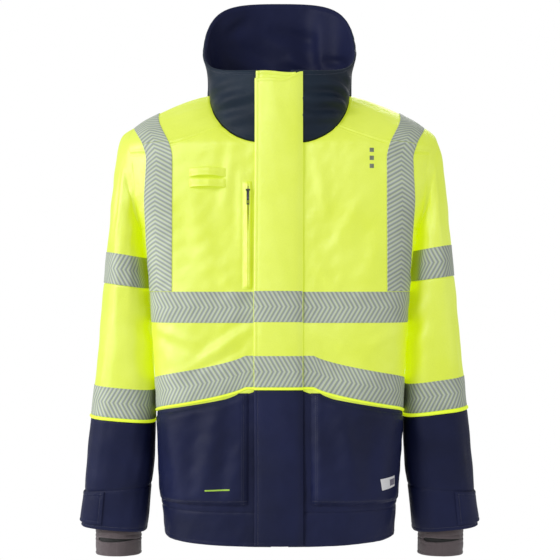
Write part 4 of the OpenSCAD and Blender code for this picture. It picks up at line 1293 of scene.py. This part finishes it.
def hook_and_loop_strips():
    for k, z in enumerate(PATCH_HEIGHTS):
        loop = flat_piece(FLAP_FREE + 2, FLAP_FREE + 22, z, z + PATCH_H, 1.2)
        piece(f"loop_strip_{k}", loop, PILE, *once(k == 0, "loop_patches"), low=0.0, high=1.0, edges="ffff")
        hook = flap_surface(z, z + PATCH_H, FLAP_FREE + 4, FLAP_FREE + 22)
        piece(f"hook_strip_{k}", hook, PILE, *once(k == 0, "flap_hook_patches"), carrier="flap", low=-2.1,
              high=-1.15, edges="ffff")


def inner_flap():
    def surface(s, t, off):
        z = mix(INNER_FLAP_LOW_Z, INNER_FLAP_TOP_Z + 1.5 * np.sin(s * 5 + 0.5), t)
        lift = INNER_FLAP_LIFT * ease((z - 640) / 90)
        return lean(mix(*INNER_FLAP_X, s), 9.5 - lift - off + 0.8 * np.sin(z / 70), z)
    piece("inner_flap_cloth", surface, YELLOW_CLOTH, "inner_flap", step=5, edges="ffff",
          stitches=[("u", 0.1)])


def zip_tape(side, name):
    low, high = box_mm("zip_tapes")
    tape = flat_piece(*sorted((side * 1.4, side * 13.0)), low[2], high[2], -3.3)
    piece(f"{name}_zip_tape", tape, STRAP, *once(side == LEFT, "zip_tapes"), step=3, low=0.0, high=0.8,
          edges="ffff")


def hard_parts():
    """The zips' moulded and metal parts are the CAD's own, with small bevels and better materials."""
    finishes = {"zip_teeth": PLASTIC, "zip_stops": PLASTIC, "main_zip_slider": METAL,
                "main_zip_puller": PLASTIC, "chest_zip_slider": METAL, "chest_zip_puller": METAL,
                "chest_pocket_zip": PLASTIC}
    for node, material in finishes.items():
        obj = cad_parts[node]
        obj.data.materials.clear()
        obj.data.materials.append(material)
        bevel = obj.modifiers.new("soft_edges", "BEVEL")
        bevel.width, bevel.segments, bevel.limit_method = 0.00022, 2, "ANGLE"


# ---- sleeves ----

KNIT_R, KNIT_SHIFT = 38.4, -2.5  # the inner cuff's radius, and how far its axis lies inside the CAD's
KNIT_TUCKS = (12, 16.5, 42)      # lines in the knit, by their height over the cuff's end
SLOT_H, SHADOW_SHEET_HALF_H = 34.5, 9  # the thumb slot's height over the cuff's end, and half the height of the near-black painted shadow sheet behind it
TAB_ANGLES = (-42, 78)           # from the outside of the cuff towards the front, in degrees


def sleeve(side, name):
    """Three tubes of cloth, two tapes, the piping under the lower tape, and the cuff."""
    shoulder, elbow, forearm = f"{name}_shoulder", f"{name}_elbow", f"{name}_forearm"
    for node, v0, v1, carrier, finish in (
            ("upper_sleeve", -1, V_ELBOW, shoulder, LINED_YELLOW),
            ("mid_sleeve", V_ELBOW, V_PIPING, elbow, LINED_YELLOW),
            ("lower_sleeve", V_PIPING + 0.07, V_CUFF, forearm, LINED_NAVY)):
        piece(f"{name}_{node}_cloth", tube(v0, v1, side), finish, f"{name}_{node}", carrier=carrier,
              low=-1.2, wrap=True, edges="ppss")
    for node, v0, v1, carrier in (("upper_sleeve_tape", V_TAPE, V_ELBOW, shoulder),
                                  ("lower_sleeve_tape", V_LOW_TAPE, V_PIPING - 0.01, forearm)):
        tape_sheet(f"{name}_{node}_strip", tube(v0, v1, side), f"{name}_{node}", carrier=carrier,
                   direction=-side, wrap=True)
    piece(f"{name}_sleeve_piping_cord", tube(V_PIPING - 0.005, V_PIPING + 0.085, side), CORD,
          f"{name}_sleeve_piping", carrier=forearm, low=-0.8, high=2.0, wrap=True, edges="ppff")
    piece(f"{name}_cuff_cloth", tube(V_CUFF, V_END, side), LINED_NAVY, f"{name}_cuff", carrier=forearm,
          step=3.5, low=-2.2, wrap=True, edges="ppsf", stitches=[("bu", -0.2)])


def cuff_tab(side, name):
    """The tab is sewn on the front with two rows of stitches. It flares on the outside."""
    flat = tube(V_CUFF + 0.02, V_END - 0.12, side, *TAB_ANGLES)

    def surface(s, t, off):
        flare = 1.6 * t ** 1.5 * ease((0.75 - outward(s, side)) / 0.4)
        return flat(s, t, off + 0.3 + flare)
    sewn = "r" if side == LEFT else "l"
    piece(f"{name}_cuff_tab_cloth", surface, NAVY_CLOTH, f"{name}_cuff_tab", carrier=f"{name}_tab", step=2.5,
          low=0.0, high=1.6, edges="ffff", stitches=[(sewn, 1.6, 2.5, 2), ("b", 1.6, 4.0)])


def inner_cuff(side, name):
    """A knitted tube in two parts, with an open slot between them across the front, and a near-black sheet
    behind the slot as its painted shadow.
    """
    x, y = CUFF_CENTRE[0] + KNIT_SHIFT, CUFF_CENTRE[1]
    bottom, top = CUFF_LOW[2], CUFF_HIGH[2]
    slot_z = bottom + SLOT_H

    def slot_height(w):
        """Half the slot's height: it is widest at the same side, the wearer's right, on both wrists."""
        share = clamp(0.5 + side * np.arctan2(np.sin(w), np.cos(w)) / 1.9)
        return 0.12 + 3.4 * np.where(share < 1, np.sin(math.pi * share ** 0.45), 0) ** 0.8

    def knit(z_low, z_high):
        def surface(s, t, off):
            w = 2 * math.pi * outward(s, side)
            z = mix(z_low(w), z_high(w), t)
            tucks = 0.7 * sum(bell(z - bottom - rise, 0.8) for rise in KNIT_TUCKS)
            soft = 0.5 * ripple(w * 38, z, 30, 61 + side)
            r = KNIT_R + off + soft - tucks - 0.5 * bell(z - bottom, 3)
            return np.stack([side * (x + r * np.sin(w)), y - r * np.cos(w), z], -1)
        return surface
    band = knit(lambda w: bottom + 7.0 + 1.2 * np.cos(w), lambda w: slot_z - slot_height(w))
    upper = knit(lambda w: slot_z + slot_height(w), lambda w: 0 * w + top - 8)
    shadow_sheet = knit(lambda w: 0 * w + slot_z - SHADOW_SHEET_HALF_H, lambda w: 0 * w + slot_z + SHADOW_SHEET_HALF_H)
    round_tube = {"carrier": f"{name}_forearm", "wrap": True, "edges": "ppff"}
    for label, surface in (("band", band), ("upper", upper)):
        piece(f"{name}_knit_{label}", surface, ("knit", KNIT), *once(label == "band", f"{name}_inner_cuff"),
              step=2.0, low=-2.2, **round_tube)
    # A near-black sheet behind the slot, painted shadow for the dark inside of the cuff.
    piece(f"{name}_slot_painted_shadow", shadow_sheet, ("knit", SHADOW), low=-3.4, high=-2.4, **round_tube)


# ---- stage ----

WHITE, FLOOR_PAINT = (1, 1, 1, 1), (0.9, 0.9, 0.9, 1)


def fading_floor():
    """A pale floor that fades into the white backdrop with distance."""
    size, fade_from, fade_to, drop = 9.0, 0.5, 1.9, 0.38
    level_z = cad_box[0][2] - drop
    bpy.ops.mesh.primitive_circle_add(vertices=96, radius=size, fill_type="NGON", location=(0, 0, level_z))
    floor = bpy.context.object
    floor.name = "floor"
    material = bpy.data.materials.new("pale_floor")
    k = NodeTree(material)
    place = k.node("ShaderNodeTexCoord").outputs["Object"]
    reach = k.node("ShaderNodeVectorMath", {0: place}, operation="LENGTH").outputs["Value"]
    fade = k.node("ShaderNodeMapRange", {"Value": reach, "From Min": fade_from, "From Max": fade_to},
                  interpolation_type="SMOOTHSTEP")
    paint = k.node("ShaderNodeBsdfDiffuse", {"Color": FLOOR_PAINT}).outputs[0]
    clear = k.node("ShaderNodeBsdfTransparent").outputs[0]
    mixer = k.node("ShaderNodeMixShader", {0: fade.outputs[0], 1: paint, 2: clear})
    k.node("ShaderNodeOutputMaterial", {0: mixer.outputs[0]})
    floor.data.materials.append(material)


def backdrop(light_strength=0.52):
    """A world that lights softly from all round and shows as plain white behind the object."""
    world = bpy.data.worlds.new("studio")
    bpy.context.scene.world = world
    k = NodeTree(world)
    seen = k.node("ShaderNodeLightPath").outputs["Is Camera Ray"]
    soft = k.node("ShaderNodeBackground", {"Color": WHITE, "Strength": light_strength})
    white = k.node("ShaderNodeBackground", {"Color": WHITE, "Strength": 1.0})
    mixer = k.node("ShaderNodeMixShader", {0: seen, 1: soft.outputs[0], 2: white.outputs[0]})
    k.node("ShaderNodeOutputWorld", {0: mixer.outputs[0]})


def soft_light(name, place, target, size, power):
    data = bpy.data.lights.new(name, "AREA")
    data.shape, data.size, data.energy = "DISK", size, power
    lamp = bpy.data.objects.new(name, data)
    bpy.context.scene.collection.objects.link(lamp)
    lamp.location = place
    direction = np.array(target) - np.array(place)
    lamp.rotation_euler = Vector(direction).to_track_quat("-Z", "Y").to_euler()


def camera():
    """Straight in front, level, 2.4 m from the side seams, with 0.952 m across the picture there."""
    distance, height, across = 2.4, 0.427, 0.952
    data = bpy.data.cameras.new("camera")
    data.lens = data.sensor_width * distance / across
    data.clip_end = 50
    obj = bpy.data.objects.new("camera", data)
    bpy.context.scene.collection.objects.link(obj)
    obj.location = (0.0008, -distance, height)
    obj.rotation_euler = (math.pi / 2, 0, 0)
    bpy.context.scene.camera = obj


def stage():
    fading_floor()
    backdrop()
    soft_light("key", (-1.9, -2.0, 1.7), (0, 0, 0.45), 1.0, 42)
    soft_light("left side", (-2.6, -0.9, 0.9), (-0.2, 0, 0.4), 1.1, 28)
    soft_light("right side", (2.6, -1.2, 0.8), (0.2, 0, 0.4), 1.2, 10)
    soft_light("back", (0.3, 2.4, 1.8), (0, 0, 0.5), 1.5, 20)
    camera()
    bpy.context.scene.view_settings.view_transform = "Standard"


# ---- build ----

for build in (front_panel, lower_front, yoke):
    both_sides(build)
back_panels()
hem_band()
both_sides(front_lining)
back_lining()
collar()
both_sides(chest_tape)
both_sides(waist_tape)
back_tapes()
both_sides(brace_tapes)
both_sides(cargo_pocket)
for build in (label_and_prints, mic_loops, chest_pocket, hang_loop, storm_flap, hook_and_loop_strips,
              inner_flap):
    build()
both_sides(zip_tape)
hard_parts()
for build in (sleeve, cuff_tab, inner_cuff):
    both_sides(build)
build_threads()
stage()
